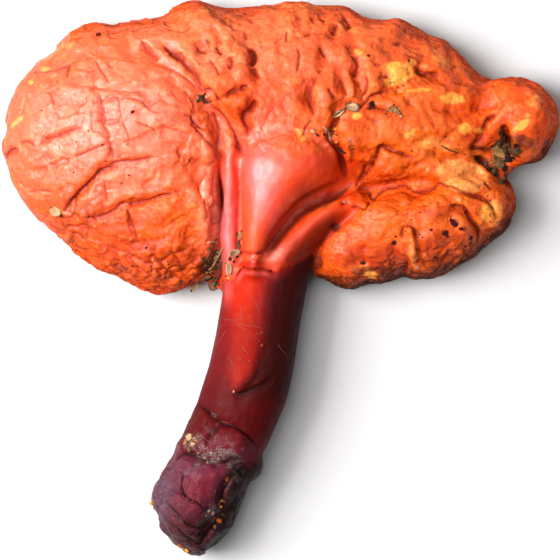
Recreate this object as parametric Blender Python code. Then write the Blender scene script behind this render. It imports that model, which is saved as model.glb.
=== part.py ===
"""A reishi mushroom, picked whole and lying on its pore side.

Two pieces: the cap, a kidney-shaped fan of lobes grown together, and the stem that enters it between
the two front lobes. The stem's flesh runs on into the cap as a tongue and two narrow folds.
Metres, +Z up, the stem pointing to -Y, the pores on the surface at Z 0.

The plan is drawn on a grid of square cells, counted to the right and downwards (towards the stem).
"""

import math

import bmesh
import bpy
import numpy as np
from mathutils import Vector, noise

MM = 0.001

# Driving dimensions
CAP_WIDTH = 167.4 * MM
PLAN_WIDTH = 558.0
CELL = CAP_WIDTH / PLAN_WIDTH
PLAN_MIDDLE = (280.0, 279.75)
SEAM_GAP = 0.3 * MM
RESTING_CUT = 0.5 * MM

# Mesh fineness
VOXEL = 0.85 * MM
SMOOTHING_PASSES = 5
TRIANGLES = 9150

# Lobes: outline in plan cells, the cell under the crown, then rim and crown heights in millimetres
LEFT_LOBE = [
    (221, 279), (205, 281), (190, 285), (175, 293), (163, 295), (148, 293), (132, 286), (113, 276),
    (95, 268), (75, 254), (60, 241), (42, 223), (24, 205), (13, 185), (8, 170), (1, 152), (3, 138),
    (6, 130), (4, 118), (11, 101), (20, 82), (32, 65), (50, 51), (70, 33), (90, 22), (112, 22),
    (140, 19), (165, 18), (192, 30), (214, 58), (233, 86), (243, 110), (245, 134), (237, 158),
    (223, 180), (216, 200), (214, 220), (219, 240), (221, 260),
]
BACK_LOBE = [
    (110, 30), (140, 20), (158, 16), (172, 8), (185, 2), (197, 0), (208, 4), (218, 7.5), (240, 8),
    (262, 6), (275, 5), (286, 2), (305, 1.5), (320, 5.5), (338, 6), (352, 9), (360, 16), (371, 20.5),
    (387, 19.5), (403, 19), (413, 26), (431, 35.5), (447, 41.5), (458, 54), (470, 64.5),
    (482, 76), (493, 81), (506, 95), (508, 120), (503, 145), (490, 166), (462, 180), (420, 186),
    (380, 190),
    (335, 198), (300, 210), (270, 212), (244, 200), (226, 172), (200, 130), (160, 90), (125, 60),
]
KNOB_LOBE = [
    (484, 84), (498, 79), (515, 77), (530, 81), (545, 91), (555, 104), (559, 121), (556, 136),
    (550, 147), (544, 158), (533, 163), (518, 165), (507, 172), (494, 160), (482, 140), (476, 110),
]
FRONT_LOBE = [
    (315, 276), (322, 278), (331, 282), (340, 287), (350, 289), (360, 287), (369, 284), (381, 284),
    (391, 281), (402, 277), (415, 279), (430, 279), (441, 276), (451, 271), (462, 264), (473, 258),
    (486, 246), (497, 238), (506, 230), (512, 219), (515, 205), (514, 193), (508, 180), (496, 172),
    (470, 176), (440, 178), (410, 176), (385, 180), (365, 190), (347, 205), (333, 222), (320, 236),
    (314, 250), (312, 264),
]
LOBES = [
    # outline, crown cell, rim height, crown height, roundness of the top
    (LEFT_LOBE, (172, 142), 8.0, 31.0, 1.75),
    (BACK_LOBE, (290, 120), 9.5, 31.0, 2.1),
    (KNOB_LOBE, (517, 120), 12.0, 24.5, 2.0),
    (FRONT_LOBE, (388, 222), 9.0, 28.0, 2.0),
]
UNDERSIDE_FLATNESS = 9.0
RIM_WAVE = 0.16
RIM_ALLOWANCE = 0.2 * MM

# Tubes: plan cell, middle height, half width and half height in millimetres
TONGUE = [
    (253, 290, 15.0, 3.0, 8.0), (254, 274, 16.0, 4.2, 10.5), (255, 254, 17.0, 4.6, 11.0),
    (259, 228, 17.5, 6.4, 13.0), (268, 200, 18.0, 9.5, 15.0), (282, 172, 18.0, 14.0, 16.5),
    (300, 148, 17.0, 16.0, 16.0), (318, 126, 15.0, 12.0, 13.0),
]
STRAP_FOLD = [
    (231, 292, 12.0, 2.2, 8.5), (231, 276, 12.5, 2.8, 10.0), (230.5, 255, 13.0, 3.2, 10.6),
    (230, 232, 13.5, 3.5, 11.0), (229.5, 208, 14.0, 3.7, 11.5), (229.5, 186, 15.0, 3.8, 12.0),
    (232, 160, 15.0, 3.8, 12.6), (238, 130, 15.0, 4.5, 12.5),
]
RIGHT_FOLD = [
    (270, 288, 14.0, 2.0, 8.5), (275, 272, 14.5, 3.0, 10.5), (285, 257, 15.0, 4.6, 11.3),
    (300, 238, 15.0, 5.4, 11.5), (317, 221, 15.0, 5.6, 11.0), (337, 207, 14.5, 5.4, 10.5),
    (362, 200, 13.0, 5.0, 9.5),
]
LEFT_WEB = [
    (219, 288, 7.0, 2.4, 5.0), (222, 262, 7.5, 3.6, 6.5), (223, 230, 8.0, 4.2, 7.5),
    (224, 195, 8.5, 4.6, 8.5),
    (226, 160, 9.0, 5.0, 10.0),
]
RIGHT_WEB = [
    (488, 160, 10.5, 6.0, 9.5), (497, 168, 10.0, 5.0, 8.5), (503, 172, 9.5, 3.4, 7.5),
    (508, 175, 9.0, 1.6, 5.5),
]
STEM = [
    (198, 556, 10.0, 1.8, 3.0), (197, 546, 10.5, 6.2, 7.5), (196.5, 529, 11.5, 10.8, 11.0),
    (197, 510, 12.4, 12.4, 11.8), (202, 490, 12.9, 12.9, 12.2), (210, 472, 13.2, 12.6, 12.0),
    (218, 455, 13.3, 12.3, 11.6), (225.5, 438, 13.4, 12.3, 11.4), (234, 420, 13.5, 12.4, 11.3),
    (241.5, 400, 13.7, 12.6, 11.3), (248.5, 380, 14.0, 12.7, 11.3), (255, 350, 14.0, 12.4, 11.4),
    (260, 320, 14.0, 12.2, 11.4), (265, 290, 14.0, 12.4, 11.6), (269, 262, 14.0, 13.0, 11.6),
    (278, 235, 14.0, 13.0, 11.5), (290, 205, 14.0, 12.0, 10.5), (300, 180, 14.0, 8.0, 8.0),
]
# Knobs of the stem's foot: plan cell, middle height and the three half sizes in millimetres
FOOT_KNOBS = [
    (178, 497, 12.0, 7.9, 8.8, 10.0), (192, 506, 13.6, 10.0, 12.0, 12.8),
    (247, 465, 11.5, 5.1, 5.2, 9.0),
    (236, 442, 15.5, 6.0, 6.0, 10.0), (219, 504, 9.5, 5.4, 7.4, 8.5), (187, 449, 14.0, 3.6, 3.6, 9.0),
]

# The wall between cap and stem follows the crease under the tongue and between the front lobes
SEAM = [
    (221.2, 300), (221.2, 284), (223, 279), (228, 280.5), (234, 279), (238.5, 273), (243, 267.5),
    (249, 268.5),
    (257, 269.5), (266, 269.5), (274, 272.5), (283, 268), (296, 263), (306, 257), (313, 251),
    (314, 262),
    (314.5, 277), (316, 282), (322, 300),
]
SEAM_OUTER = [(322, 600), (120, 600), (120, 300)]

# Furrows: half width and depth in millimetres, then plan cells along the furrow
FURROWS = [
    ("left lobe, upper long furrow", 0.9, 0.9, [(38, 147), (47, 140), (60, 136), (73, 131), (86, 127)]),
    ("left lobe, middle furrow", 1.1, 1.7,
     [(63, 214), (72, 202), (84, 189), (94, 179), (103, 171), (114, 168), (125, 167)]),
    ("left lobe, middle furrow's arm", 0.9, 0.8, [(107, 168), (120, 163), (138, 162), (157, 158)]),
    ("left lobe, lower furrow", 1.0, 1.5,
     [(90, 220), (102, 216), (114, 211), (124, 204), (136, 203), (150, 200), (166, 195), (187, 191)]),
    ("left lobe, upright seam", 0.7, 0.7,
     [(98, 90), (102, 103), (103, 122), (108, 134), (113, 153), (115, 162)]),
    ("left rim notch", 1.2, 1.5, [(0, 166), (6, 158), (12, 152), (20, 149)]),
    ("left lobe, back wedge", 1.2, 1.1, [(141, 40), (148, 51), (158, 62)]),
    ("left lobe, back furrow", 1.4, 2.2,
     [(162, 43), (174, 52), (184, 60), (192, 72), (198, 84), (208, 94), (220, 103)]),
    ("beside the left lobe", 1.4, 1.3,
     [(216, 100), (224, 108), (231, 122), (237, 138), (243, 152), (248, 162)]),
    ("under the back hump", 1.3, 2.2, [(224, 101), (232, 94), (241, 90), (250, 89)]),
    ("right of the back hump", 1.3, 2.3, [(249, 46), (254, 56), (253, 67), (256, 78), (258, 90)]),
    ("right of the small hump", 1.2, 2.0, [(257, 98), (253, 107), (245, 116), (247, 127), (250, 136)]),
    ("beside the hooked fold", 1.0, 1.3, [(213, 26), (219, 38), (221, 50), (224, 58)]),
    ("hooked fold", 1.0, 1.5, [(229, 56), (233, 63), (229, 70), (221, 73)]),
    ("back valley, left", 1.8, 1.5,
     [(305, 112), (308, 96), (310, 83), (318, 75), (326, 61), (322, 48)]),
    ("back valley, middle", 1.5, 1.5, [(346, 102), (343, 90), (339, 78), (341, 62)]),
    ("back valley, right", 1.6, 1.9,
     [(360, 104), (362, 90), (356, 76), (358, 64), (353, 54), (351, 40)]),
    ("back pit, left", 1.5, 2.0, [(331, 40), (335, 32), (339, 24)]),
    ("back pit, right", 1.2, 1.4, [(344, 16), (347, 24), (350, 32)]),
    ("crevice of the flake", 1.1, 2.6, [(333, 116), (336, 109), (346, 104), (356, 107)]),
    ("crevice above the tongue", 1.1, 2.6,
     [(334, 110), (335, 122), (332, 132), (337, 145), (341, 158), (344, 176), (346, 188)]),
    ("right of the flake", 1.3, 1.8, [(357, 108), (369, 99), (384, 94), (397, 91), (408, 84)]),
    ("back right furrow", 1.2, 1.8, [(414, 76), (418, 71), (430, 76), (444, 79)]),
    ("brown line", 0.9, 0.9, [(366, 108), (378, 109), (390, 113), (400, 112)]),
    ("right body, long fold", 1.2, 1.2,
     [(428, 104), (440, 110), (456, 113), (474, 110), (490, 106), (505, 98)]),
    ("right body, lower fold", 1.0, 1.2, [(415, 145), (428, 151), (440, 158), (453, 160), (468, 152)]),
    ("finger ridge", 1.0, 1.6, [(497, 113), (489, 120), (483, 132), (476, 145), (466, 152)]),
    ("crevice of the knob", 1.5, 3.4, [(503, 124), (502, 136), (503, 148), (505, 160), (505, 172)]),
    ("under the knob's debris", 1.2, 2.0, [(474, 157), (486, 164), (496, 171), (507, 178)]),
    ("front lobe's upper edge", 1.1, 1.8,
     [(362, 208), (371, 199), (384, 191), (395, 188), (406, 187), (415, 191), (428, 190), (437, 186),
      (444, 180)]),
    ("small lobe's upper edge", 1.1, 1.6,
     [(360, 182), (369, 169), (377, 157), (382, 149), (392, 149), (403, 155), (415, 163)]),
    ("front lobe, right crescent", 1.0, 1.5,
     [(449, 214), (453, 209), (461, 210), (469, 217), (477, 227), (481, 240)]),
    ("front lobe, right edge", 0.8, 0.9,
     [(445, 186), (457, 193), (470, 195), (486, 199), (492, 208), (498, 222)]),
    ("round the finger bump", 0.8, 1.1,
     [(407, 246), (403, 236), (403, 228), (410, 225), (416, 232), (418, 244), (417, 266)]),
    ("left of the bump's strip", 0.8, 1.0, [(407, 244), (406, 258), (404, 274)]),
    ("tongue's foot crease", 0.7, 0.9, [(241, 252), (249, 254), (259, 254), (268, 252)]),
    ("tongue's left crease", 0.7, 0.8, [(240, 276), (240.5, 250), (240, 222), (240, 196), (238, 172)]),
    ("groove beside the tongue", 1.6, 3.4,
     [(268, 262), (275, 243), (288, 224), (305, 206), (325, 195), (347, 188), (356, 184)]),
]
STEM_FURROWS = [
    ("sheath's right edge", 0.9, 0.5, [(268, 340), (262, 360), (256, 375), (248, 386), (234, 393)]),
    ("sheath's lower edge", 0.8, 0.6, [(230, 391), (240, 394), (252, 391), (264, 384), (276, 372)]),
    ("second growth line", 0.9, 0.9,
     [(196, 402), (207, 410), (215, 419), (226, 424), (238, 427), (248, 437), (258, 448)]),
    ("groove round the foot", 1.5, 2.2,
     [(172, 456), (188, 452), (205, 458), (222, 463), (236, 462), (248, 474), (262, 470)]),
    ("foot's ragged edge", 1.4, 2.2,
     [(236, 470), (226, 482), (221, 496), (223, 509), (216, 522), (205, 534), (196, 550)]),
    ("small lip", 0.8, 0.7, [(205, 446), (209, 436), (217, 428), (226, 425)]),
    ("foot, lower fold", 0.9, 0.8, [(165, 500), (180, 516), (198, 524), (214, 524)]),
]

# Lumps: plan cell, half sizes in cells, turn in degrees, height in millimetres
LUMPS = [
    ("left lobe's shoulder", 150, 110, 60, 42, 25, 2.0),
    ("left lobe's middle", 75, 125, 46, 60, 20, 1.0),
    ("left lobe, below the middle furrow", 88, 210, 26, 15, -42, 1.2),
    ("left lobe, lower right", 165, 235, 40, 30, 0, 1.0),
    ("left lobe's front edge", 150, 272, 16, 12, 0, 0.8),
    ("left lobe's front corner", 194, 268, 12, 12, 0, 1.4),
    ("left lobe, round bump", 172, 248, 9, 9, 0, 0.9),
    ("left rim, upper", 40, 92, 16, 22, 35, 0.8),
    ("strap beside the left lobe", 225, 142, 5, 17, -8, 1.8),
    ("dip between lobe and strap", 217, 200, 5, 24, 0, -2.6),
    ("dip above the strap", 236, 160, 8, 13, 0, -1.2),
    ("left hump of the back", 217, 85, 9, 17, -22, 2.6),
    ("small hump of the back", 239, 104, 11, 10, 0, 2.4),
    ("back hump", 240, 66, 10, 17, 0, 1.8),
    ("pit in the back", 201, 46, 6, 9, 0, -1.7),
    ("back left edge", 192, 16, 20, 11, 0, 1.0),
    ("back, hump one", 275, 60, 13, 30, 0, 1.3),
    ("back, hump two", 312, 58, 9, 16, 15, 1.5),
    ("back, hump three", 325, 98, 11, 19, 10, 1.9),
    ("back, hump four", 341, 60, 8, 14, 0, 1.1),
    ("back, hump five", 350, 88, 6, 13, 0, 1.0),
    ("back, hump six", 374, 86, 8, 13, 0, 1.8),
    ("back, hump seven", 368, 60, 8, 11, 0, 1.0),
    ("back, hump eight", 293, 98, 8, 20, 0, 1.0),
    ("back edge one", 300, 14, 22, 9, 0, 0.7),
    ("back edge two", 360, 27, 14, 8, 25, 1.1),
    ("back edge three", 396, 28, 14, 7, 10, 1.0),
    ("yellow patch's hump", 400, 72, 12, 12, 0, 1.2),
    ("right back slope", 440, 62, 22, 11, 35, 1.1),
    ("right ridge, upper", 450, 92, 40, 7, 2, 1.3),
    ("right ridge, lower", 440, 128, 44, 9, 6, 1.3),
    ("finger ridge's crest", 489, 131, 6, 18, 22, 2.0),
    ("hollow right of the tongue", 352, 175, 12, 14, -30, -2.6),
    ("ridge right of the crevice", 352, 140, 8, 20, 20, 1.6),
    ("small shiny lobe", 390, 168, 16, 13, 10, 2.2),
    ("tan patch", 455, 176, 26, 13, 10, 1.0),
    ("front lobe, upper hump", 375, 212, 26, 14, -10, 1.3),
    ("front lobe, left bulge", 338, 250, 16, 22, 10, 1.6),
    ("finger bump", 410, 233, 6, 8, 0, 1.4),
    ("finger bump's strip", 412, 254, 4.5, 15, 0, 1.0),
    ("front lobe, middle", 432, 235, 14, 26, -15, 1.3),
    ("front lobe, crescent", 462, 232, 11, 17, -30, 1.3),
    ("front lobe, right corner", 500, 208, 12, 18, -10, 1.2),
    ("front lobe's front edge", 355, 275, 18, 9, 0, 0.9),
    ("knob's crown", 530, 112, 20, 24, 0, 1.6),
    ("hollow before the knob", 499, 150, 9, 14, 0, -3.4),
    ("saddle behind the knob", 488, 95, 10, 12, 0, -1.0),
]
# Wrinkles all over the cap: spacing and height in millimetres, weaker on the left lobe's smooth middle
WRINKLES = [(8.5, 0.9), (4.6, 0.45)]
CALM_SPOT = (95, 160, 95, 110)
CALM_SHARE = 0.5
SMOOTH_REACH = 4.6 * MM

STEM_LUMPS = [
    ("sheath", 242, 335, 26, 62, 12, 0.9),
    ("round bulge", 235, 443, 14, 14, 0, 1.6),
    ("left of the bulge", 203, 422, 10, 13, 15, 0.8),
    ("foot's upper lump", 196, 474, 20, 13, -10, 1.6),
    ("foot's main lump", 184, 506, 22, 25, 10, 1.4),
    ("ragged hollow", 232, 505, 10, 24, -15, -1.8),
    ("foot's left edge", 158, 492, 9, 12, 0, 0.8),
]


def place(cells):
    """Plan cells to metres: an array of X, Y."""
    cells = np.asarray(cells, float)
    return np.stack(
     [(cells[..., 0] - PLAN_MIDDLE[0]) * CELL, (PLAN_MIDDLE[1] - cells[..., 1]) * CELL], -1)


def smooth_curve(knots, steps, closed=False):
    """Points along a Catmull-Rom curve, with this many steps from one knot to the next."""
    knots = np.asarray(knots, float)
    if closed:
        before, here, after, beyond = (np.roll(knots, -k, axis=0) for k in (-1, 0, 1, 2))
    else:
        padded = np.vstack([2 * knots[0] - knots[1], knots, 2 * knots[-1] - knots[-2]])
        before, here, after, beyond = padded[:-3], padded[1:-2], padded[2:-1], padded[3:]
    before, here, after, beyond = (k[:, None] for k in (before, here, after, beyond))
    t = np.linspace(0, 1, steps, endpoint=False)[None, :, None]
    curve = here + 0.5 * (
        (after - before) * t
        + (2 * before - 5 * here + 4 * after - beyond) * t**2
        + (3 * here - before - 3 * after + beyond) * t**3
    )
    curve = curve.reshape(-1, knots.shape[1])
    return curve if closed else np.vstack([curve, knots[-1:]])


def new_object(name, vertices, faces):
    mesh = bpy.data.meshes.new(name)
    mesh.from_pydata([tuple(v) for v in vertices], [], faces)
    mesh.update()
    obj = bpy.data.objects.new(name, mesh)
    bpy.context.scene.collection.objects.link(obj)
    return obj


def loft(name, rings):
    """A closed body through rings of equally many points, its ends closed by flat faces."""
    count = len(rings[0])
    faces = [list(range(count))[::-1]]
    for k in range(len(rings) - 1):
        for i in range(count):
            j = (i + 1) % count
            faces.append([k * count + i, k * count + j, (k + 1) * count + j, (k + 1) * count + i])
    faces.append([(len(rings) - 1) * count + i for i in range(count)])
    obj = new_object(name, np.vstack(rings), faces)
    body = bmesh.new()
    body.from_mesh(obj.data)
    bmesh.ops.recalc_face_normals(body, faces=body.faces)
    body.to_mesh(obj.data)
    body.free()
    return obj


def lobe(index, outline, crown_cell, rim, crown, roundness, steps=40):
    """A cushion on its outline: a domed top, a rounded rim and a nearly flat underside."""
    edge = place(smooth_curve(outline, 5, closed=True))
    along = np.roll(edge, -1, axis=0) - np.roll(edge, 1, axis=0)
    along /= np.linalg.norm(along, axis=1, keepdims=True)
    spun = np.sign(np.sum(edge[:, 0] * along[:, 1] - edge[:, 1] * along[:, 0]))
    edge += RIM_ALLOWANCE * spun * np.column_stack([along[:, 1], -along[:, 0]])
    middle = place(crown_cell)
    turn = np.linspace(0, 2 * math.pi, len(edge), endpoint=False)
    rim_height = rim * MM * (1 + RIM_WAVE * (np.sin(3 * turn + index) + 0.6 * np.sin(7 * turn + 2 * index)))
    rings = []
    for k in range(1, steps):
        slope = math.pi * k / steps
        share = math.sin(slope)
        if slope < math.pi / 2:
            height = rim_height + (crown * MM - rim_height) * math.sqrt(1 - share**roundness)
        else:
            height = rim_height * (1 - math.sqrt(1 - share**UNDERSIDE_FLATNESS))
        flat = middle + share * (edge - middle)
        rings.append(np.column_stack([flat, height]))
    return loft(f"lobe_{index}", rings)


def tube(name, spine, around=28, steps=6):
    """A body of oval sections along a spine of cells, heights and half sizes."""
    line = smooth_curve(spine, steps)
    flat = place(line[:, :2])
    along = np.gradient(flat, axis=0)
    along /= np.linalg.norm(along, axis=1, keepdims=True)
    side = np.column_stack([along[:, 1], -along[:, 0]])
    angle = np.linspace(0, 2 * math.pi, around, endpoint=False)
    rings = []
    for at, across, (height, half_width, half_height) in zip(flat, side, line[:, 2:] * MM):
        ring = at + np.outer(np.cos(angle) * half_width, across)
        rings.append(np.column_stack([ring, height + np.sin(angle) * half_height]))
    return loft(name, rings)


def knob(name, cell_x, cell_y, height, half_x, half_y, half_z):
    """An oval lump."""
    mesh = bpy.data.meshes.new(name)
    body = bmesh.new()
    bmesh.ops.create_uvsphere(body, u_segments=24, v_segments=16, radius=MM)
    bmesh.ops.scale(body, vec=(half_x, half_y, half_z), verts=body.verts)
    bmesh.ops.translate(body, vec=(*place((cell_x, cell_y)), height * MM), verts=body.verts)
    body.to_mesh(mesh)
    body.free()
    obj = bpy.data.objects.new(name, mesh)
    bpy.context.scene.collection.objects.link(obj)
    return obj


def settle(obj):
    """Makes what the object's modifiers give its own mesh."""
    evaluated = obj.evaluated_get(bpy.context.evaluated_depsgraph_get())
    mesh = bpy.data.meshes.new_from_object(evaluated)
    obj.modifiers.clear()
    obj.data = mesh
    return obj


def grown_together(name, parts):
    """The parts as one skin with soft fillets where they meet."""
    whole = bmesh.new()
    for part in parts:
        whole.from_mesh(part.data)
        bpy.data.objects.remove(part)
    mesh = bpy.data.meshes.new(name)
    whole.to_mesh(mesh)
    whole.free()
    obj = bpy.data.objects.new(name, mesh)
    bpy.context.scene.collection.objects.link(obj)
    remesh = obj.modifiers.new("skin", "REMESH")
    remesh.mode = "VOXEL"
    remesh.voxel_size = VOXEL
    smooth = obj.modifiers.new("fillets", "SMOOTH")
    smooth.factor = 0.5
    smooth.iterations = SMOOTHING_PASSES
    return settle(obj)


def nearest_on(points, curve):
    """Distance in plan from each point to the curve, and how far along the curve the nearest place is."""
    start, end = curve[:-1], curve[1:]
    run = end - start
    length = np.linalg.norm(run, axis=1)
    travelled = np.concatenate([[0], np.cumsum(length)])
    best = np.full(len(points), np.inf)
    share = np.zeros(len(points))
    for a, d, size, before in zip(start, run, length, travelled):
        t = np.clip((points - a) @ d / size**2, 0, 1)
        distance = np.linalg.norm(points - a - t[:, None] * d, axis=1)
        nearer = distance < best
        best = np.where(nearer, distance, best)
        share = np.where(nearer, (before + t * size) / travelled[-1], share)
    return best, share


def carve(offset, flat, furrow):
    """Sinks one furrow into the skin, shallower at its two ends."""
    _, half_width, depth, cells = furrow
    curve = place(smooth_curve(cells, 4))
    reach = 3 * half_width * MM
    near = np.all((flat > curve.min(0) - reach) & (flat < curve.max(0) + reach), axis=1)
    distance, share = nearest_on(flat[near], curve)
    ends = np.clip(np.minimum(share, 1 - share) / 0.18, 0.15, 1)
    offset[near] -= depth * MM * ends * np.exp(-((distance / (half_width * MM)) ** 2))


def swell(offset, flat, lump):
    """Raises one lump, or sinks a hollow where its height is negative."""
    _, cell_x, cell_y, half_x, half_y, turn, height = lump
    away = flat - place((cell_x, cell_y))
    c, s = math.cos(math.radians(turn)), math.sin(math.radians(turn))
    u = (away[:, 0] * c + away[:, 1] * s) / (half_x * CELL)
    v = (-away[:, 0] * s + away[:, 1] * c) / (half_y * CELL)
    offset += height * MM * np.exp(-(u**2 + v**2))


def wrinkle(offset, points):
    """Crumples the cap's skin and leaves the tongue, its folds and the stem smooth."""
    rough = np.ones(len(points))
    for smooth_part in (TONGUE[:-2], RIGHT_FOLD, STRAP_FOLD, STEM[6:-4]):
        line = smooth_curve(smooth_part, 4)
        distance, share = nearest_on(points[:, :2], place(line[:, :2]))
        half_width = np.interp(share, np.linspace(0, 1, len(line)), line[:, 3] * MM)
        rough = np.minimum(rough, np.clip((distance - half_width) / SMOOTH_REACH, 0.08, 1))
    cell_x, cell_y, half_x, half_y = CALM_SPOT
    away = (points[:, :2] - place((cell_x, cell_y))) / (CELL * np.array([half_x, half_y]))
    rough *= 1 - CALM_SHARE * np.exp(-np.sum(away**2, axis=1))
    for spacing, height in WRINKLES:
        folds = np.array([noise.noise(Vector(p) / (spacing * MM)) for p in points])
        offset += height * MM * rough * (np.minimum(np.abs(folds) / 0.35, 1) ** 0.7 - 0.75)


def sculpt(obj, furrows, lumps):
    """Moves the upper skin along its normals by every furrow and lump."""
    mesh = obj.data
    count = len(mesh.vertices)
    points = np.empty(count * 3)
    mesh.vertices.foreach_get("co", points)
    points = points.reshape(-1, 3)
    normals = np.empty(count * 3)
    mesh.vertex_normals.foreach_get("vector", normals)
    normals = normals.reshape(-1, 3)
    offset = np.zeros(count)
    wrinkle(offset, points)
    for furrow in furrows:
        carve(offset, points[:, :2], furrow)
    for lump in lumps:
        swell(offset, points[:, :2], lump)
    facing_up = np.clip((normals[:, 2] + 0.25) / 0.6, 0, 1)
    points += normals * (offset * facing_up)[:, None]
    mesh.vertices.foreach_set("co", points.ravel())
    mesh.update()


def thin_out(obj, triangles):
    """Keeps about this many triangles, more of them where the skin bends."""
    obj.data.calc_loop_triangles()
    decimate = obj.modifiers.new("thin out", "DECIMATE")
    decimate.ratio = triangles / len(obj.data.loop_triangles)
    decimate.use_collapse_triangulate = True
    return settle(obj)


def cut_flat(obj, height):
    """Cuts the underside at this height and closes it with one flat face."""
    body = bmesh.new()
    body.from_mesh(obj.data)
    everything = body.verts[:] + body.edges[:] + body.faces[:]
    cut = bmesh.ops.bisect_plane(
        body, geom=everything, dist=1e-7, plane_co=(0, 0, height), plane_no=(0, 0, -1), clear_outer=True
    )
    rim = [e for e in cut["geom_cut"] if isinstance(e, bmesh.types.BMEdge)]
    bmesh.ops.triangle_fill(body, edges=rim, use_beauty=True, normal=(0, 0, -1))
    bmesh.ops.recalc_face_normals(body, faces=body.faces)
    body.to_mesh(obj.data)
    body.free()


def seam_prism(name, grow):
    """The space of the stem, as seen from above: everything below the seam, grown by some distance."""
    seam = place(SEAM)
    along = np.gradient(seam, axis=0)
    along /= np.linalg.norm(along, axis=1, keepdims=True)
    seam = seam + grow * np.column_stack([-along[:, 1], along[:, 0]])
    flat = np.vstack([seam, place(SEAM_OUTER)])
    low = np.column_stack([flat, np.full(len(flat), -20 * MM)])
    high = np.column_stack([flat, np.full(len(flat), 80 * MM)])
    prism = loft(name, [low, high])
    prism.hide_render = True
    prism.display_type = "WIRE"
    return prism


def cut_with(obj, cutter, operation):
    boolean = obj.modifiers.new("seam", "BOOLEAN")
    boolean.object = cutter
    boolean.operation = operation
    settle(obj)
    bpy.data.objects.remove(cutter)


def drop_slivers(obj):
    """Removes loose crumbs that a cut leaves, keeping the largest body."""
    body = bmesh.new()
    body.from_mesh(obj.data)
    bmesh.ops.triangulate(body, faces=body.faces)
    left = set(body.verts)
    islands = []
    while left:
        island, stack = set(), [left.pop()]
        while stack:
            vert = stack.pop()
            island.add(vert)
            for edge in vert.link_edges:
                other = edge.other_vert(vert)
                if other in left:
                    left.remove(other)
                    stack.append(other)
        islands.append(island)
    islands.sort(key=len)
    bmesh.ops.delete(body, geom=[v for island in islands[:-1] for v in island], context="VERTS")
    body.to_mesh(obj.data)
    body.free()


def finish(obj, name, material):
    obj.name = name
    obj.data.name = name
    obj.data.materials.clear()
    obj.data.materials.append(material)
    obj.data.shade_smooth()
    return obj


def skin_material(name, colour, roughness):
    material = bpy.data.materials.new(name)
    material.use_nodes = True
    shader = material.node_tree.nodes["Principled BSDF"]
    shader.inputs["Base Color"].default_value = (*colour, 1)
    shader.inputs["Roughness"].default_value = roughness
    shader.inputs["Metallic"].default_value = 0
    return material


def recentre(pieces):
    """Puts the middle of the whole mushroom's footprint over the origin, with the flat at Z 0."""
    corners = np.vstack([[v.co[:] for v in piece.data.vertices] for piece in pieces])
    low, high = corners.min(0), corners.max(0)
    shift = (-(low[0] + high[0]) / 2, -(low[1] + high[1]) / 2, -low[2])
    for piece in pieces:
        body = bmesh.new()
        body.from_mesh(piece.data)
        bmesh.ops.translate(body, vec=shift, verts=body.verts)
        body.to_mesh(piece.data)
        body.free()


def build():
    for obj in list(bpy.data.objects):
        bpy.data.objects.remove(obj)
    parts = [lobe(index, *values) for index, values in enumerate(LOBES)]
    parts += [tube("tongue", TONGUE), tube("strap_fold", STRAP_FOLD), tube("right_fold", RIGHT_FOLD)]
    parts += [tube("stem_core", STEM), tube("left_web", LEFT_WEB), tube("right_web", RIGHT_WEB)]
    parts += [knob(f"knob_{index}", *values) for index, values in enumerate(FOOT_KNOBS)]
    whole = grown_together("mushroom", parts)
    sculpt(whole, FURROWS + STEM_FURROWS, LUMPS + STEM_LUMPS)
    cap = thin_out(whole, TRIANGLES)
    cut_flat(cap, RESTING_CUT)
    stem = cap.copy()
    stem.data = cap.data.copy()
    bpy.context.scene.collection.objects.link(stem)
    cut_with(cap, seam_prism("stem_space", SEAM_GAP / 2), "DIFFERENCE")
    cut_with(stem, seam_prism("stem_space", -SEAM_GAP / 2), "INTERSECT")
    drop_slivers(cap)
    drop_slivers(stem)
    finish(cap, "cap", skin_material("cap_crust", (0.80, 0.125, 0.025), 0.35))
    finish(stem, "stem", skin_material("stem_crust", (0.30, 0.012, 0.012), 0.35))
    recentre([cap, stem])


build()
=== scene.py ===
"""Looks of the reishi mushroom: skins over cap and stem, debris, floor, light and camera."""
import math

import bmesh
import bpy
import numpy as np
from mathutils import Matrix, Vector, noise
from mathutils.bvhtree import BVHTree


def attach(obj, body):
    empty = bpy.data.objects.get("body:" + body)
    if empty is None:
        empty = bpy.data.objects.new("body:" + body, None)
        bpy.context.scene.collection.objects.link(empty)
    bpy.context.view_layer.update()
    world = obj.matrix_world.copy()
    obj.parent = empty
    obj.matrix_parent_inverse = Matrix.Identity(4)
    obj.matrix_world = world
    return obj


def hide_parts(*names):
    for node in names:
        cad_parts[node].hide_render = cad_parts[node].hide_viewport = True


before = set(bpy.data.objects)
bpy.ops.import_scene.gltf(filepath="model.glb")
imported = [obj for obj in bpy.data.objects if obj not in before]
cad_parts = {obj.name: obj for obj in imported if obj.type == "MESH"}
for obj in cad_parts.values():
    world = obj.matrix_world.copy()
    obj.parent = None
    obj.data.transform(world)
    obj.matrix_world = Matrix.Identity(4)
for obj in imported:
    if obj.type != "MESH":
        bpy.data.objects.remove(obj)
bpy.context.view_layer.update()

# The same noise in every run
noise.seed_set(7)

MM = 0.001

# The plan is drawn on a grid of square cells, counted to the right and downwards, towards the stem's foot
CELL = 0.3 * MM
PLAN_MIDDLE = (279.95, 278.2)
PLAN_SIZE = 560

# Fineness of the skins
VOXEL = 0.53 * MM
SMOOTHING_PASSES = 7
SKIN_TRIANGLES = 196000

# Points lower than this that face down are taken as lying on the ground
FLAT_BELOW = 0.08 * MM


# Helpers for points, curves and noise


def place(cells):
    """Plan cells to metres: an array of X, Y."""
    cells = np.asarray(cells, float)
    return np.stack([(cells[..., 0] - PLAN_MIDDLE[0]) * CELL, (PLAN_MIDDLE[1] - cells[..., 1]) * CELL], -1)


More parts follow.
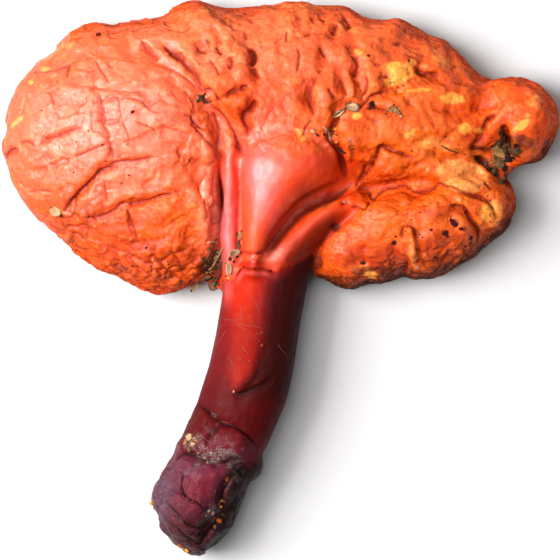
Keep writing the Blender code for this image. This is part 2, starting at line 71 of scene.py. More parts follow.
def plan_cells(points):
    """Metres to plan cells: the cell under each point, rows counted downwards."""
    return np.column_stack([points[:, 0] / CELL + PLAN_MIDDLE[0], PLAN_MIDDLE[1] - points[:, 1] / CELL])


def inside(cells, outline):
    """Which cells lie inside the outline."""
    outline = np.asarray(outline, float)
    result = np.zeros(len(cells), bool)
    x, y = cells[:, 0], cells[:, 1]
    for (x1, y1), (x2, y2) in zip(outline, np.roll(outline, -1, axis=0)):
        if y1 == y2:
            continue
        crosses = (y1 > y) != (y2 > y)
        result ^= crosses & (x < (x2 - x1) * (y - y1) / (y2 - y1) + x1)
    return result


def smooth_curve(knots, steps):
    """Points along a Catmull-Rom curve through the knots."""
    knots = np.asarray(knots, float)
    padded = np.vstack([2 * knots[0] - knots[1], knots, 2 * knots[-1] - knots[-2]])
    ends = (padded[:-3], padded[1:-2], padded[2:-1], padded[3:])
    before, here, after, beyond = (knot[:, None] for knot in ends)
    t = np.linspace(0, 1, steps, endpoint=False)[None, :, None]
    curve = here + 0.5 * (
        (after - before) * t
        + (2 * before - 5 * here + 4 * after - beyond) * t**2
        + (3 * here - before - 3 * after + beyond) * t**3
    )
    return np.vstack([curve.reshape(-1, knots.shape[1]), knots[-1:]])


def nearest_on(points, curve):
    """Distance in plan from each point to the curve, and how far along it the nearest place is."""
    start, run = curve[:-1], curve[1:] - curve[:-1]
    length = np.linalg.norm(run, axis=1)
    travelled = np.concatenate([[0], np.cumsum(length)])
    best = np.full(len(points), np.inf)
    share = np.zeros(len(points))
    for a, d, size, before in zip(start, run, length, travelled):
        t = np.clip((points - a) @ d / size**2, 0, 1)
        distance = np.linalg.norm(points - a - t[:, None] * d, axis=1)
        nearer = distance < best
        best = np.where(nearer, distance, best)
        share = np.where(nearer, (before + t * size) / travelled[-1], share)
    return best, share


def ragged(points, size, octaves=1, shift=0.0):
    """Smooth noise at each point, about -1 to 1, with this spacing."""
    move = Vector((shift, shift * 1.7, shift * 0.6))
    if octaves == 1:
        return np.array([noise.noise(Vector(p) / size + move) for p in points])
    return np.array([noise.fractal(Vector(p) / size + move, 0.9, 2.1, octaves) for p in points])


def side_of(points, curve):
    """Distance in plan from the curve, positive on the left of its run, and how far along it."""
    distance, share = nearest_on(points, curve)
    travelled = np.concatenate([[0], np.cumsum(np.linalg.norm(np.diff(curve, axis=0), axis=1))])
    index = np.clip(np.searchsorted(travelled / travelled[-1], share) - 1, 0, len(curve) - 2)
    run = curve[index + 1] - curve[index]
    away = points - curve[index]
    return distance * np.sign(run[:, 0] * away[:, 1] - run[:, 1] * away[:, 0]), share


def patch(flat, cell_x, cell_y, half_x, half_y, turn=0.0):
    """How much of an oval patch lies at each point: 1 at its middle, falling off to 0."""
    away = flat - place((cell_x, cell_y))
    c, s = math.cos(math.radians(turn)), math.sin(math.radians(turn))
    u = (away[:, 0] * c + away[:, 1] * s) / (half_x * CELL)
    v = (-away[:, 0] * s + away[:, 1] * c) / (half_y * CELL)
    return np.exp(-(u**2 + v**2))


def step_between(low, high, value):
    """0 below low, 1 above high and a soft step between."""
    t = np.clip((value - low) / (high - low), 0, 1)
    return t * t * (3 - 2 * t)


def srgb(red, green, blue):
    """A screen colour of 0 to 255 as linear light."""
    values = np.array([red, green, blue]) / 255
    return np.where(values <= 0.04045, values / 12.92, ((values + 0.055) / 1.055) ** 2.4)


def blend(base, colour, share):
    return base + (colour - base) * np.asarray(share)[:, None]


def read_triples(items, key):
    """One row of three numbers for each vertex, normal or face of a mesh."""
    values = np.empty(len(items) * 3)
    items.foreach_get(key, values)
    return values.reshape(-1, 3)


def write_points(mesh, points):
    mesh.vertices.foreach_set("co", points.ravel())
    mesh.update()


def add_object(name, data):
    """A new object in the scene."""
    obj = bpy.data.objects.new(name, data)
    bpy.context.scene.collection.objects.link(obj)
    return obj


def with_modifiers(obj):
    """A new mesh: the object's, with its modifiers applied."""
    bpy.context.view_layer.update()
    return bpy.data.meshes.new_from_object(obj.evaluated_get(bpy.context.evaluated_depsgraph_get()))


# Camera, light and floor

CAMERA_DISTANCE = 2.5
RIM_LEVEL = 12 * MM
SENSOR = 36.0
LIGHT_AIM = (0, 0, 0.015)
FLOOR_HALF = 4.0
FLOOR_DROP = 0.2 * MM
FLOOR_GREY = 0.5


def add_camera():
    data = bpy.data.cameras.new("camera")
    data.sensor_width = SENSOR
    data.lens = SENSOR * CAMERA_DISTANCE / (PLAN_SIZE * CELL)
    data.clip_start = 0.05
    data.clip_end = 20
    camera = add_object("camera", data)
    camera.location = (*place((PLAN_SIZE / 2, PLAN_SIZE / 2)), RIM_LEVEL + CAMERA_DISTANCE)
    bpy.context.scene.camera = camera


def add_softbox(name, azimuth, elevation, distance, size, power, colour=(1, 1, 1)):
    """A square light, azimuth counted from +X towards +Y, aimed at the mushroom."""
    a, e = math.radians(azimuth), math.radians(elevation)
    direction = Vector((math.cos(e) * math.cos(a), math.cos(e) * math.sin(a), math.sin(e)))
    data = bpy.data.lights.new(name, "AREA")
    data.size = size
    data.energy = power
    data.color = colour
    light = add_object(name, data)
    light.location = Vector(LIGHT_AIM) + direction * distance
    light.rotation_euler = (-direction).to_track_quat("-Z", "Y").to_euler()


def add_floor():
    mesh = bpy.data.meshes.new("floor")
    corners = [(-1, -1), (1, -1), (1, 1), (-1, 1)]
    mesh.from_pydata([(x * FLOOR_HALF, y * FLOOR_HALF, 0) for x, y in corners], [], [(0, 1, 2, 3)])
    floor = add_object("floor", mesh)
    floor.location.z = -FLOOR_DROP
    material = bpy.data.materials.new("floor_white")
    material.use_nodes = True
    shader = material.node_tree.nodes["Principled BSDF"]
    shader.inputs["Base Color"].default_value = (FLOOR_GREY, FLOOR_GREY, FLOOR_GREY, 1)
    shader.inputs["Roughness"].default_value = 0.9
    shader.inputs["Specular IOR Level"].default_value = 0.1
    mesh.materials.append(material)


def add_world(strength):
    world = bpy.data.worlds.new("studio")
    world.use_nodes = True
    world.node_tree.nodes["Background"].inputs["Color"].default_value = (1, 1, 1, 1)
    world.node_tree.nodes["Background"].inputs["Strength"].default_value = strength
    bpy.context.scene.world = world


add_camera()
add_floor()
add_world(0.04)
add_softbox("key", 171, 43, 0.95, 0.62, 22.5, (1.0, 0.985, 0.985))
add_softbox("overhead", 168, 72, 0.95, 0.55, 8.0, (1.0, 0.97, 1.0))
add_softbox("fill", 15, 60, 0.95, 0.6, 2.2)
bpy.context.scene.view_settings.view_transform = "Standard"


# The skins

SEAM = [
    (221.2, 300), (221.2, 284), (223, 279), (228, 280.5), (234, 279), (238.5, 273), (243, 267.5),
    (249, 268.5), (257, 269.5), (266, 269.5), (274, 272.5), (283, 268), (296, 263), (306, 257),
    (313, 251), (314, 262), (314.5, 277), (316, 282), (322, 300),
]
SEAM_OUTER = [(322, 600), (120, 600), (120, 300)]
SEAM_REACH = 0.45 * MM
SEAM_OVERLAP = 0.8 * MM
SEAM_CENTRE = (266, 302)

# Centre lines of the smooth parts: plan cell and half width in millimetres
TONGUE = [
    (253, 290, 3.0), (254, 274, 4.2), (255, 254, 4.6), (259, 228, 6.4), (268, 200, 9.5),
    (282, 172, 14.0), (300, 148, 16.0),
]
STRAP_FOLD = [(230, 292, 1.8), (231, 276, 2.3), (231.5, 232, 2.8), (231, 208, 3.2), (230, 186, 3.4),
              (231, 160, 3.8)]
RIGHT_FOLD = [(270, 288, 2.0), (275, 272, 3.0), (285, 257, 4.6), (300, 238, 5.4), (317, 221, 5.6),
              (337, 207, 5.4)]
STEM_LINE = [
    (225.5, 438, 12.3), (234, 420, 12.4), (241.5, 400, 12.6), (248.5, 380, 12.7), (255, 350, 12.4),
    (260, 320, 12.2), (265, 290, 12.4),
]
FOOT_LINE = [(197, 552, 4), (196.5, 529, 9), (197, 510, 11), (202, 490, 12), (210, 472, 12),
             (220, 450, 12)]

# The row below which the tongue and its folds are smooth
SMOOTH_FROM = 152
FAN_CENTRE = (275, 225)
FAN_RADIUS = 45 * MM

# The share of a crack or ledge over which it fades out at each end
FADE_SHARE = 0.15

# Furrows and cracks: half width and depth in millimetres, then plan cells along them
CRACKS = [
    (0.55, 0.45, [(38, 147), (47, 140), (60, 136), (73, 131), (86, 127)]),
    (0.45, 0.45, [(63, 214), (72, 202), (84, 189), (94, 179), (103, 171), (114, 168), (125, 167)]),
    (0.5, 0.4, [(107, 168), (120, 163), (138, 162), (157, 158)]),
    (0.4, 0.4, [(90, 220), (102, 216), (114, 211), (124, 204), (136, 203), (150, 200), (166, 195),
                (187, 191)]),
    (0.45, 0.4, [(98, 90), (102, 103), (103, 122), (108, 134), (113, 153), (115, 162)]),
    (0.5, 0.5, [(40, 72), (50, 71), (60, 69), (72, 64)]),
    (0.4, 0.35, [(70, 63), (69, 71), (68, 79)]),
    (0.4, 0.35, [(94, 59), (99, 67), (105, 76), (110, 86)]),
    (0.4, 0.3, [(104, 104), (118, 98), (120, 121), (105, 123), (104, 104)]),
    (0.4, 0.35, [(122, 99), (141, 101), (151, 111), (163, 115)]),
    (0.4, 0.3, [(122, 122), (127, 132), (131, 145)]),
    (0.4, 0.3, [(137, 122), (153, 130), (159, 136)]),
    (0.4, 0.3, [(95, 122), (108, 121), (121, 121)]),
    (0.45, 0.4, [(75, 159), (92, 151), (105, 146), (110, 145)]),
    (0.4, 0.3, [(104, 178), (107, 191), (108, 205)]),
    (0.45, 0.4, [(127, 208), (134, 229), (138, 243)]),
    (0.5, 0.5, [(19, 143), (29, 142), (36, 147)]),
    (0.45, 0.4, [(28, 193), (40, 191), (55, 193)]),
    (0.6, 0.8, [(2, 164), (4, 160), (10, 152), (18, 150)]),
    (0.5, 0.5, [(193, 117), (195, 128), (206, 141), (212, 151), (215, 160)]),
    (0.4, 0.3, [(182, 115), (190, 117), (194, 121), (201, 130), (203, 134)]),
    (0.5, 0.5, [(141, 40), (149, 52), (159, 61)]),
    (0.6, 0.7, [(162, 44), (172, 52), (180, 57), (186, 64), (193, 72), (197, 79), (203, 92)]),
    (0.4, 0.3, [(165, 69), (172, 71), (188, 80), (198, 90)]),
    (0.6, 1.0, [(200, 90), (208, 92), (214, 96), (221, 104)]),
    (0.6, 0.7, [(210, 104), (222, 115), (228, 122), (233, 130), (237, 138), (240, 150), (245, 157)]),
    (0.4, 0.35, [(213, 112), (217, 119), (221, 132)]),
    (0.5, 0.8, [(228, 58), (232, 62), (231, 67), (228, 70)]),
    (0.4, 0.4, [(218, 48), (222, 57)]),
    (0.45, 0.5, [(209, 59), (215, 67), (221, 77)]),
    (0.6, 0.9, [(226, 100), (230, 95), (235, 92), (241, 90), (248, 86)]),
    (0.6, 0.9, [(250, 50), (254, 56), (254, 62), (251, 68)]),
    (0.5, 0.7, [(254, 68), (256, 76), (259, 81)]),
    (0.6, 0.9, [(256, 100), (254, 106), (251, 110), (244, 118), (246, 125), (248, 130), (243, 140)]),
    (0.5, 0.5, [(287, 32), (286, 38), (287, 43)]),
    (0.5, 0.6, [(298, 48), (299, 60), (297, 75)]),
    (0.6, 0.8, [(337, 25), (335, 31), (333, 36)]),
    (0.6, 0.7, [(344, 18), (348, 24), (349, 31)]),
    (0.5, 0.5, [(320, 47), (322, 53), (326, 60)]),
    (0.7, 0.9, [(318, 75), (313, 82), (310, 88), (309, 93), (309, 100), (312, 110), (315, 117)]),
    (0.5, 0.5, [(328, 89), (332, 95), (335, 101)]),
    (0.5, 0.6, [(340, 80), (343, 90), (346, 98)]),
    (0.5, 0.6, [(354, 58), (357, 65), (356, 72), (353, 79)]),
    (0.5, 0.7, [(364, 77), (366, 83), (365, 90), (362, 98)]),
    (0.7, 1.0, [(415, 70), (422, 74), (430, 75), (440, 76)]),
    (0.5, 0.6, [(358, 110), (365, 103), (372, 97), (385, 93)]),
    (0.5, 0.6, [(365, 110), (375, 109), (393, 113)]),
    (0.7, 1.1, [(333, 112), (337, 118), (333, 128), (330, 140), (338, 150), (341, 160), (344, 172),
                (346, 181)]),
    (0.6, 0.8, [(366, 165), (362, 175), (355, 187)]),
    (0.55, 0.7, [(350, 192), (365, 188), (372, 198), (378, 194), (383, 190), (390, 188), (404, 186),
                 (410, 189),
                 (416, 192), (425, 191), (433, 189), (440, 184), (452, 188), (462, 193), (475, 196),
                 (486, 200),
                 (492, 208), (497, 222)]),
    (0.55, 0.7, [(358, 185), (367, 172), (375, 160), (380, 148), (390, 150), (400, 154), (415, 160)]),
    (0.45, 0.5, [(350, 208), (358, 207), (364, 209), (370, 200)]),
    (0.45, 0.6, [(402, 240), (402, 232), (403, 228), (408, 226), (413, 228), (417, 238)]),
    (0.5, 0.6, [(460, 205), (466, 212), (470, 219), (475, 226), (479, 233), (478, 245)]),
    (0.45, 0.5, [(450, 207), (456, 206), (463, 209), (469, 217)]),
    (0.5, 0.5, [(396, 262), (392, 267), (388, 272)]),
    (0.5, 0.5, [(406, 262), (405, 275)]),
    (0.6, 0.8, [(494, 114), (486, 122), (482, 133)]),
    (0.6, 0.9, [(470, 147), (480, 150), (490, 150), (500, 142)]),
    (0.6, 0.9, [(472, 155), (482, 163), (490, 170), (497, 175), (505, 180)]),
    (0.5, 0.6, [(484, 182), (488, 186), (492, 190)]),
    (0.45, 0.45, [(241, 252), (249, 254), (259, 254), (268, 252)]),
    (1.0, 0.8, [(262, 262), (268, 250), (275, 240), (287, 226), (300, 212), (320, 201), (345, 190)]),
    (0.5, 0.15, [(237, 262), (237, 235), (238, 205), (240, 170)]),
    (0.5, 0.5, [(303, 137), (306, 128), (312, 120)]),
]
STEM_CRACKS = [
    (0.35, 0.4, [(232, 391), (240, 393), (250, 389), (262, 382)]),
    (0.4, 0.35, [(197, 403), (207, 410), (215, 416), (224, 424), (237, 427), (250, 438), (257, 447)]),
    (0.4, 0.35, [(205, 446), (209, 436), (217, 428), (226, 425)]),
    (0.5, 0.4, [(172, 458), (188, 453), (205, 458), (222, 462), (238, 460), (250, 470), (262, 468)]),
    (0.6, 0.9, [(236, 470), (227, 482), (222, 496), (224, 509), (217, 522), (206, 534), (198, 550)]),
    (0.45, 0.5, [(163, 498), (176, 512), (186, 522), (200, 528), (212, 524)]),
    (0.45, 0.5, [(184, 470), (180, 484), (188, 496), (200, 502), (206, 512)]),
    (0.45, 0.5, [(168, 520), (180, 530), (192, 540), (204, 546)]),
]
# Lumps: plan cell, half sizes in cells, turn in degrees, height in millimetres
LUMPS = [
    (172, 248, 8, 8, 0, 0.5), (195, 268, 10, 9, 0, 0.6), (165, 270, 12, 9, 0, 0.4),
    (148, 262, 8, 7, 0, 0.4),
    (133, 268, 9, 7, 20, 0.4), (186, 226, 8, 7, 0, 0.4), (112, 262, 9, 6, 20, 0.3),
    (205, 250, 6, 9, 0, 0.4),
    (203, 47, 5, 8, 0, -1.0), (208, 45, 2.2, 5, 0, -0.8), (224, 63, 7, 6, 0, 0.7),
    (307, 35, 4.5, 3, 0, -0.6),
    (313, 22, 3.5, 4, 0, -0.5), (412, 56, 7, 3.5, 0, -0.6), (279, 105, 9, 12, 0, -0.5),
    (374, 88, 7, 7, 0, 0.6),
    (344, 203, 4, 3.5, 0, -1.2), (335, 228, 4, 4, 0, -0.9), (408, 233, 4.5, 5, 0, 0.5),
    (401, 73, 11, 8, -20, 0.3),
    (464, 129, 6, 5, 0, 0.3), (112, 111, 7, 9, 0, -0.25), (455, 223, 4, 4, 0, -0.3),
    (444, 233, 3.5, 3.5, 0, -0.3),
    (371, 106, 4, 4, 0, -0.35), (247, 167, 5, 20, -10, 0.4), (255, 261, 11, 5, 0, -0.7),
    (249, 330, 14, 40, 10, 0.15), (218, 214, 4, 26, 0, 1.0), (203, 190, 11, 46, 0, 2.4),
    (208, 150, 8, 22, 10, 1.2), (222, 92, 10, 14, 0, 0.5),
    (452, 176, 20, 10, 8, 0.5),
    (180, 470, 3.5, 3.5, 0, 0.5), (215, 474, 3, 3, 0, 0.5), (226, 444, 4, 3, 0, 0.4),
    (249, 470, 4, 4, 0, 0.6),
    (210, 465, 3, 3, 0, 0.4), (196, 482, 3, 3, 0, 0.35), (240, 488, 5, 4, 0, 0.5),
    (252, 458, 4, 4, 0, 0.4),
]

# Fillings of the plan's narrow valleys: plan cell, half sizes in cells, turn in degrees, height in mm
LIFTS = [
    (210, 202, 7, 30, 0, 7.0), (216, 205, 4.5, 34, 0, 5.0), (450, 178, 34, 10, -5, 3.6),
    (250, 166, 13, 26, -12, 1.3), (208, 150, 6, 14, 10, 1.6),
]

# Ledges, raised on the left of their run: height, softness and reach in millimetres, then plan cells
LEDGES = [
    (0.28, 0.6, 4.0, [(232, 393), (242, 389), (251, 381), (259, 368)]),
    (0.3, 0.5, 2.5, [(230, 391), (240, 393), (252, 388), (265, 380), (277, 369)]),
    (0.7, 0.4, 2.6, [(276, 273), (266, 270), (256, 269), (246, 268), (239, 263)]),
    (0.5, 0.5, 3.0, [(258, 448), (249, 438), (238, 428), (226, 425), (214, 417), (203, 408), (195, 402)]),
    (0.35, 0.4, 2.2, [(203, 92), (190, 82), (172, 71), (150, 66), (118, 60), (95, 59), (72, 64), (50, 72)]),
    (0.3, 0.4, 2.0, [(183, 116), (165, 114), (150, 109), (122, 94), (103, 90), (85, 88), (65, 85),
                     (52, 86)]),
    (0.5, 0.45, 3.5, [(90, 220), (113, 212), (128, 204), (145, 201), (162, 196), (186, 192)]),
    (0.5, 0.45, 3.5, [(63, 215), (71, 201), (86, 185), (99, 172), (107, 168), (122, 168)]),
]


def seam_line():
    return place([cell for cell in SEAM if cell[1] < 290])


def fused_shape(voxel):
    """Cap and stem in one fine skin: the stem's end is pushed into the cap so that they grow together."""
    body = bmesh.new()
    for name in ("cap", "stem"):
        first = len(body.verts)
        body.from_mesh(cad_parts[name].data)
        if name == "stem":
            body.verts.ensure_lookup_table()
            verts = body.verts[first:]
            distance, _ = nearest_on(np.array([v.co[:2] for v in verts]), seam_line())
            middle = place(SEAM_CENTRE)
            for vert, away in zip(verts, distance):
                if away < SEAM_REACH:
                    outwards = Vector((vert.co.x - middle[0], vert.co.y - middle[1], 0)).normalized()
                    vert.co += outwards * SEAM_OVERLAP
    bmesh.ops.remove_doubles(body, verts=body.verts, dist=1e-6)
    mesh = bpy.data.meshes.new("fused")
    body.to_mesh(mesh)
    body.free()
    obj = add_object("fused", mesh)
    remesh = obj.modifiers.new("skin", "REMESH")
    remesh.mode = "VOXEL"
    remesh.voxel_size = voxel
    smooth = obj.modifiers.new("soft", "SMOOTH")
    smooth.factor = 0.5
    smooth.iterations = SMOOTHING_PASSES
    result = with_modifiers(obj)
    bpy.data.objects.remove(obj)
    bpy.data.meshes.remove(mesh)
    return result


def near_line(flat, cells, margin):
    """Which points are within the margin of a line of cells, their side of it, and its fade there."""
    curve = place(smooth_curve(cells, 4))
    near = np.all((flat > curve.min(0) - margin) & (flat < curve.max(0) + margin), axis=1)
    side, share = side_of(flat[near], curve)
    return near, side, np.minimum(share, 1 - share) / FADE_SHARE


def carve(offset, depth_map, line_side, line_power, flat, crack):
    """Sinks one crack, marks how deep in it each point lies and on which side of its middle line."""
    half_width, depth, cells = crack
    near, side, fade = near_line(flat, cells, 3 * half_width * MM)
    distance = np.abs(side)
    closest = np.zeros(len(flat), bool)
    closest[near] = (distance < 1.1 * MM) & (distance < np.abs(line_side[near]))
    chosen = closest[near]
    line_side[closest] = side[chosen]
    line_power[closest] = (np.clip(fade, 0, 1) * min(1.0, depth / 0.45))[chosen]
    shape = np.clip(fade, 0.1, 1) * np.exp(-((distance / (half_width * MM)) ** 2))
    offset[near] -= depth * MM * shape
    depth_map[near] = np.maximum(depth_map[near], shape * min(1.0, depth / 0.6))


def raise_ledge(offset, flat, ledge):
    """Steps the skin up on one side of a line; the step dies away over its reach."""
    height, softness, reach, cells = ledge
    near, side, fade = near_line(flat, cells, 2.5 * reach * MM)
    step = step_between(-softness * MM, softness * MM, side) - 0.4
    shape = step * np.exp(-np.maximum(np.abs(side) / (reach * MM) - 0.15, 0) ** 2 * 1.5)
    offset[near] += height * MM * shape * np.clip(fade, 0, 1)


def fan(points):
    """Points in a fan spread from the tongue: round it, drawn out along its rays, and up."""
    away = points[:, :2] - place(FAN_CENTRE)
    angle = np.arctan2(away[:, 0], away[:, 1])
    return np.column_stack([angle * FAN_RADIUS, 0.7 * np.linalg.norm(away, axis=1), points[:, 2]])


def from_band(flat, band):
    """Distance in plan from a band's centre line, and the band's half width there."""
    curve = smooth_curve(band, 4)
    distance, along = nearest_on(flat, place(curve[:, :2]))
    return distance, np.interp(along, np.linspace(0, 1, len(curve)), curve[:, 2] * MM)


def smooth_share(points):
    """1 on the tongue, its folds and the stem, falling to 0 on the crumpled crust."""
    share = np.zeros(len(points))
    for band, reach in ((TONGUE, 5.0), (STRAP_FOLD, 2.0), (RIGHT_FOLD, 2.0), (STEM_LINE, 6.0)):
        distance, half_width = from_band(points[:, :2], band)
        share = np.maximum(share, 1 - step_between(-0.15, 1, (distance - half_width) / (reach * MM)))
    wrinkled_above = step_between(SMOOTH_FROM - 10, SMOOTH_FROM + 12, PLAN_MIDDLE[1] - points[:, 1] / CELL)
    return share * wrinkled_above


def foot_share(flat):
    """1 on the knobbly foot, falling to 0 beside it."""
    distance, half_width = from_band(flat, FOOT_LINE)
    return 1 - step_between(0.9, 1.5, distance / half_width)


def cell_walls(points, size, warp, shift=0.0):
    """A net of cracks: 1 on the walls between cells of about this size, falling to 0 inside them."""
    move = Vector((shift, shift, shift))
    values = np.empty(len(points))
    for k, p in enumerate(points):
        v = Vector(p) / size + move
        v = v + noise.noise_vector(v * 1.3) * warp
        near, _ = noise.voronoi(v, distance_metric="DISTANCE", exponent=2.5)
        values[k] = near[1] - near[0]
    return values


def plates(points, size, warp, shift=0.0):
    """A level for each point, 0 to 1, the same all over each cell of about this size."""
    move = Vector((shift, shift, shift))
    values = np.empty(len(points))
    for k, p in enumerate(points):
        v = Vector(p) / size + move
        v = v + noise.noise_vector(v * 1.1) * warp + noise.noise_vector(v * 4.0) * warp * 0.3
        _, cells = noise.voronoi(v, distance_metric="DISTANCE", exponent=2.5)
        values[k] = noise.cell(cells[0] * 37.0)
    return values


def neighbour_mean(values, edges, count):
    """The mean of each point's neighbours, for a list of values per point."""
    total = np.zeros_like(values)
    for axis in range(values.shape[1]):
        total[:, axis] = np.bincount(edges[:, 0], values[edges[:, 1], axis], count)
        total[:, axis] += np.bincount(edges[:, 1], values[edges[:, 0], axis], count)
    return total / np.maximum(np.bincount(edges.ravel(), minlength=count), 1)[:, None]


def hollow_map(points, normals, edges, passes):
    """How far each point lies below (positive) or above (negative) its surroundings, in metres."""
    around = points
    for _ in range(passes):
        around = neighbour_mean(around, edges, len(points))
    return np.sum((around - points) * normals, axis=1)


voxel = VOXEL
whole = fused_shape(voxel)
points = read_triples(whole.vertices, "co")
facing_up = np.clip((read_triples(whole.vertex_normals, "vector")[:, 2] + 0.3) / 0.6, 0, 1)
for cell_x, cell_y, half_x, half_y, turn, height in LIFTS:
    points[:, 2] += height * MM * facing_up * patch(points[:, :2], cell_x, cell_y, half_x, half_y, turn)
write_points(whole, points)
normals = read_triples(whole.vertex_normals, "vector")
flat = points[:, :2]
count = len(points)
edge_list = np.empty(len(whole.edges) * 2, np.int64)
whole.edges.foreach_get("vertices", edge_list)
edge_list = edge_list.reshape(-1, 2)

calm = smooth_share(points)
foot = foot_share(flat)
below = step_between(0.55, 0.9, -normals[:, 2]) * (1 - step_between(1.5 * MM, 4.0 * MM, points[:, 2]))
plan = plan_cells(flat)
on_stem_side = (plan[:, 1] > 285) & (plan[:, 0] > 140) & (plan[:, 0] < 321)
left_lobe = 1 - step_between(205, 232, plan[:, 0])
lower_rims = np.maximum(
    patch(flat, 160, 262, 62, 26, -4),
    np.maximum(patch(flat, 420, 262, 90, 16, 4), patch(flat, 70, 232, 40, 26, 42)),
)
back = patch(flat, 300, 45, 140, 55)
# Where painted shade darkens the front and right rims, which turn away from the light
front_rim_shade = np.maximum(
    np.maximum(patch(flat, 396, 284, 84, 18, -3), patch(flat, 490, 246, 26, 44, -25)),
    np.maximum(patch(flat, 545, 160, 26, 14, 20), patch(flat, 515, 148, 12, 10)),
)
crumple = (1 - calm) * (1 - below)
crumple = np.maximum(crumple, 0.55 * foot) * (1 - 0.75 * patch(flat, 462, 177, 26, 15, -14))

offset = np.zeros(count)
crack_map = np.zeros(count)
line_side = np.full(count, 1.2 * MM)
line_power = np.zeros(count)
for crack in CRACKS + STEM_CRACKS:
    carve(offset, crack_map, line_side, line_power, flat, crack)
line_power *= facing_up
for cell_x, cell_y, half_x, half_y, turn, height in LUMPS:
    offset += height * MM * patch(flat, cell_x, cell_y, half_x, half_y, turn)
for ledge in LEDGES:
    raise_ledge(offset, flat, ledge)
# The sheath's lip: a crease along the seam and a low roll just below it
seam_side, _ = side_of(flat, place(SEAM))
on_lip = step_between(234, 241, plan[:, 0]) * (1 - step_between(262, 280, plan[:, 0])) * (plan[:, 1] < 296)
crease_share = np.exp(-((seam_side / (0.4 * MM)) ** 2)) * on_lip
roll_share = np.exp(-(((-seam_side - 1.2 * MM) / (0.7 * MM)) ** 2)) * on_lip
offset += MM * (0.4 * roll_share - 0.4 * crease_share)
offset *= facing_up
crack_map *= facing_up

# Crumpled skin, pillows parted by narrow valleys: spacing and height in mm, width of the valleys, shift
PILLOWS = [(4.6, 0.42, 0.26, 3.0), (2.5, 0.26, 0.3, 7.0), (1.4, 0.13, 0.36, 11.0)]
warp = np.column_stack([ragged(points, 5 * MM, 1, k) for k in (31.0, 41.0, 51.0)]) * 1.6 * MM
fanned = fan(points + warp)
near_tongue = patch(flat, 288, 122, 62, 30)
liveliness = 0.4 + 0.7 * step_between(-0.35, 0.35, ragged(points, 15 * MM, 2, 21.0))
for spacing, height, width, shift in PILLOWS:
    folds = left_lobe * ragged(points, spacing * MM, 1, shift)
    folds = folds + (1 - left_lobe) * ragged(fanned, spacing * MM, 1, shift)
    if 2 < spacing < 4:
        fold_side = folds
    folds = np.abs(folds)
    valley = 1 - np.minimum(folds / width, 1) ** 0.75
    strength = crumple * (0.75 + 0.15 * back - 0.5 * left_lobe) * liveliness
    if spacing > 4:
        strength = strength * (1 - 0.7 * near_tongue)
    offset += height * MM * strength * (0.35 - valley)
    valley_floor = step_between(0.6, 1.0, valley)
    crack_map = np.maximum(crack_map, 0.35 * strength * valley_floor * (height / 0.42))

# Plates with a step between them over the left lobe, a net of fine cracks, and knobbly rims
lobe_share = left_lobe * crumple
stretched = points * np.array([0.7, 1.0, 1.0])
level = plates(stretched, 8.5 * MM, 0.35, 2.0)
offset += 0.42 * MM * lobe_share * (level - 0.5)
fine_level = plates(points, 4.2 * MM, 0.4, 5.0)
offset += 0.18 * MM * crumple * (fine_level - 0.5)
walls = cell_walls(stretched, 8.5 * MM, 0.35, 2.0)
net = 1 - step_between(0.01, 0.09, walls)
net_share = lobe_share * (0.35 + 0.4 * step_between(-0.1, 0.3, ragged(points, 14 * MM, 1, 5.0)))
offset -= 0.14 * MM * net * net_share
crack_map = np.maximum(crack_map, 0.5 * net * net_share)
knobs = cell_walls(points, 5.2 * MM, 0.5, 9.0)
knob_share = lower_rims * crumple
offset += (0.75 + 0.35 * left_lobe) * MM * knob_share * (np.minimum(knobs / 0.5, 1) ** 0.7 - 0.6)
knob_walls = 1 - step_between(0.02, 0.16, knobs)
crack_map = np.maximum(crack_map, (0.7 + 0.25 * left_lobe) * knob_share * knob_walls)

offset += 0.035 * MM * (0.3 + 0.7 * crumple) * ragged(points, 1.0 * MM, 2, 1.0)
offset += 0.12 * MM * calm * ragged(points * np.array([1, 0.35, 1]), 3.0 * MM, 2, 2.0)
offset *= 1 - below
points = points + normals * offset[:, None]
points[:, 2] = np.maximum(points[:, 2], 0)
write_points(whole, points)
normals = read_triples(whole.vertex_normals, "vector")

fine_hollow = hollow_map(points, normals, edge_list, 2)
wide_hollow = hollow_map(points, normals, edge_list, 12)
# Painted shade: the skin is darkened in its carved cracks, between knobs and in its hollows
groove_shade = crack_map * 0.8
groove_shade = groove_shade + step_between(0.02 * MM, 0.13 * MM, fine_hollow) * 0.5
groove_shade = groove_shade + step_between(0.1 * MM, 0.7 * MM, wide_hollow) * 0.6
# Less painted shade on the left lobe's right wall
groove_shade = np.clip(groove_shade, 0, 1) * (1 - 0.85 * patch(flat, 211, 205, 8, 52))
# Painted highlight: the skin is made paler on its ridges
ridge_highlight = step_between(0.02 * MM, 0.12 * MM, -fine_hollow) + step_between(0.05 * MM, 0.5 * MM, -wide_hollow)
ridge_highlight = np.clip(ridge_highlight * 0.6, 0, 1)

# Colours of the crust

CRUST = srgb(216, 76, 12)
# Pink over the left lobe: partly its own pinker tone, partly painted sheen
CRUST_PINK_SHEEN = srgb(228, 84, 46)
# Salmon over the back: partly its own tone, partly painted sheen
BACK_SALMON_SHEEN = srgb(232, 102, 52)
# Painted sheen: pink patches where the lacquer catches the light
SHEEN_PINK = srgb(240, 128, 108)
DEEP_ORANGE = srgb(178, 48, 6)
KNOB_ORANGE = srgb(224, 72, 4)
MARGIN = srgb(222, 84, 10)
MARGIN_EDGE = srgb(240, 158, 70)
VALLEY_RED = srgb(214, 58, 14)
TONGUE_RED = srgb(210, 50, 6)
# Painted highlight on the tongue
TONGUE_SHEEN = srgb(226, 104, 112)
TONGUE_ORANGE = srgb(206, 52, 0)
STRAP_PINK = srgb(212, 84, 88)
# Painted shade on the folds' flanks and the collar
FOLD_SHADE_BROWN = srgb(104, 24, 6)
RIM_BROWN = srgb(172, 60, 8)
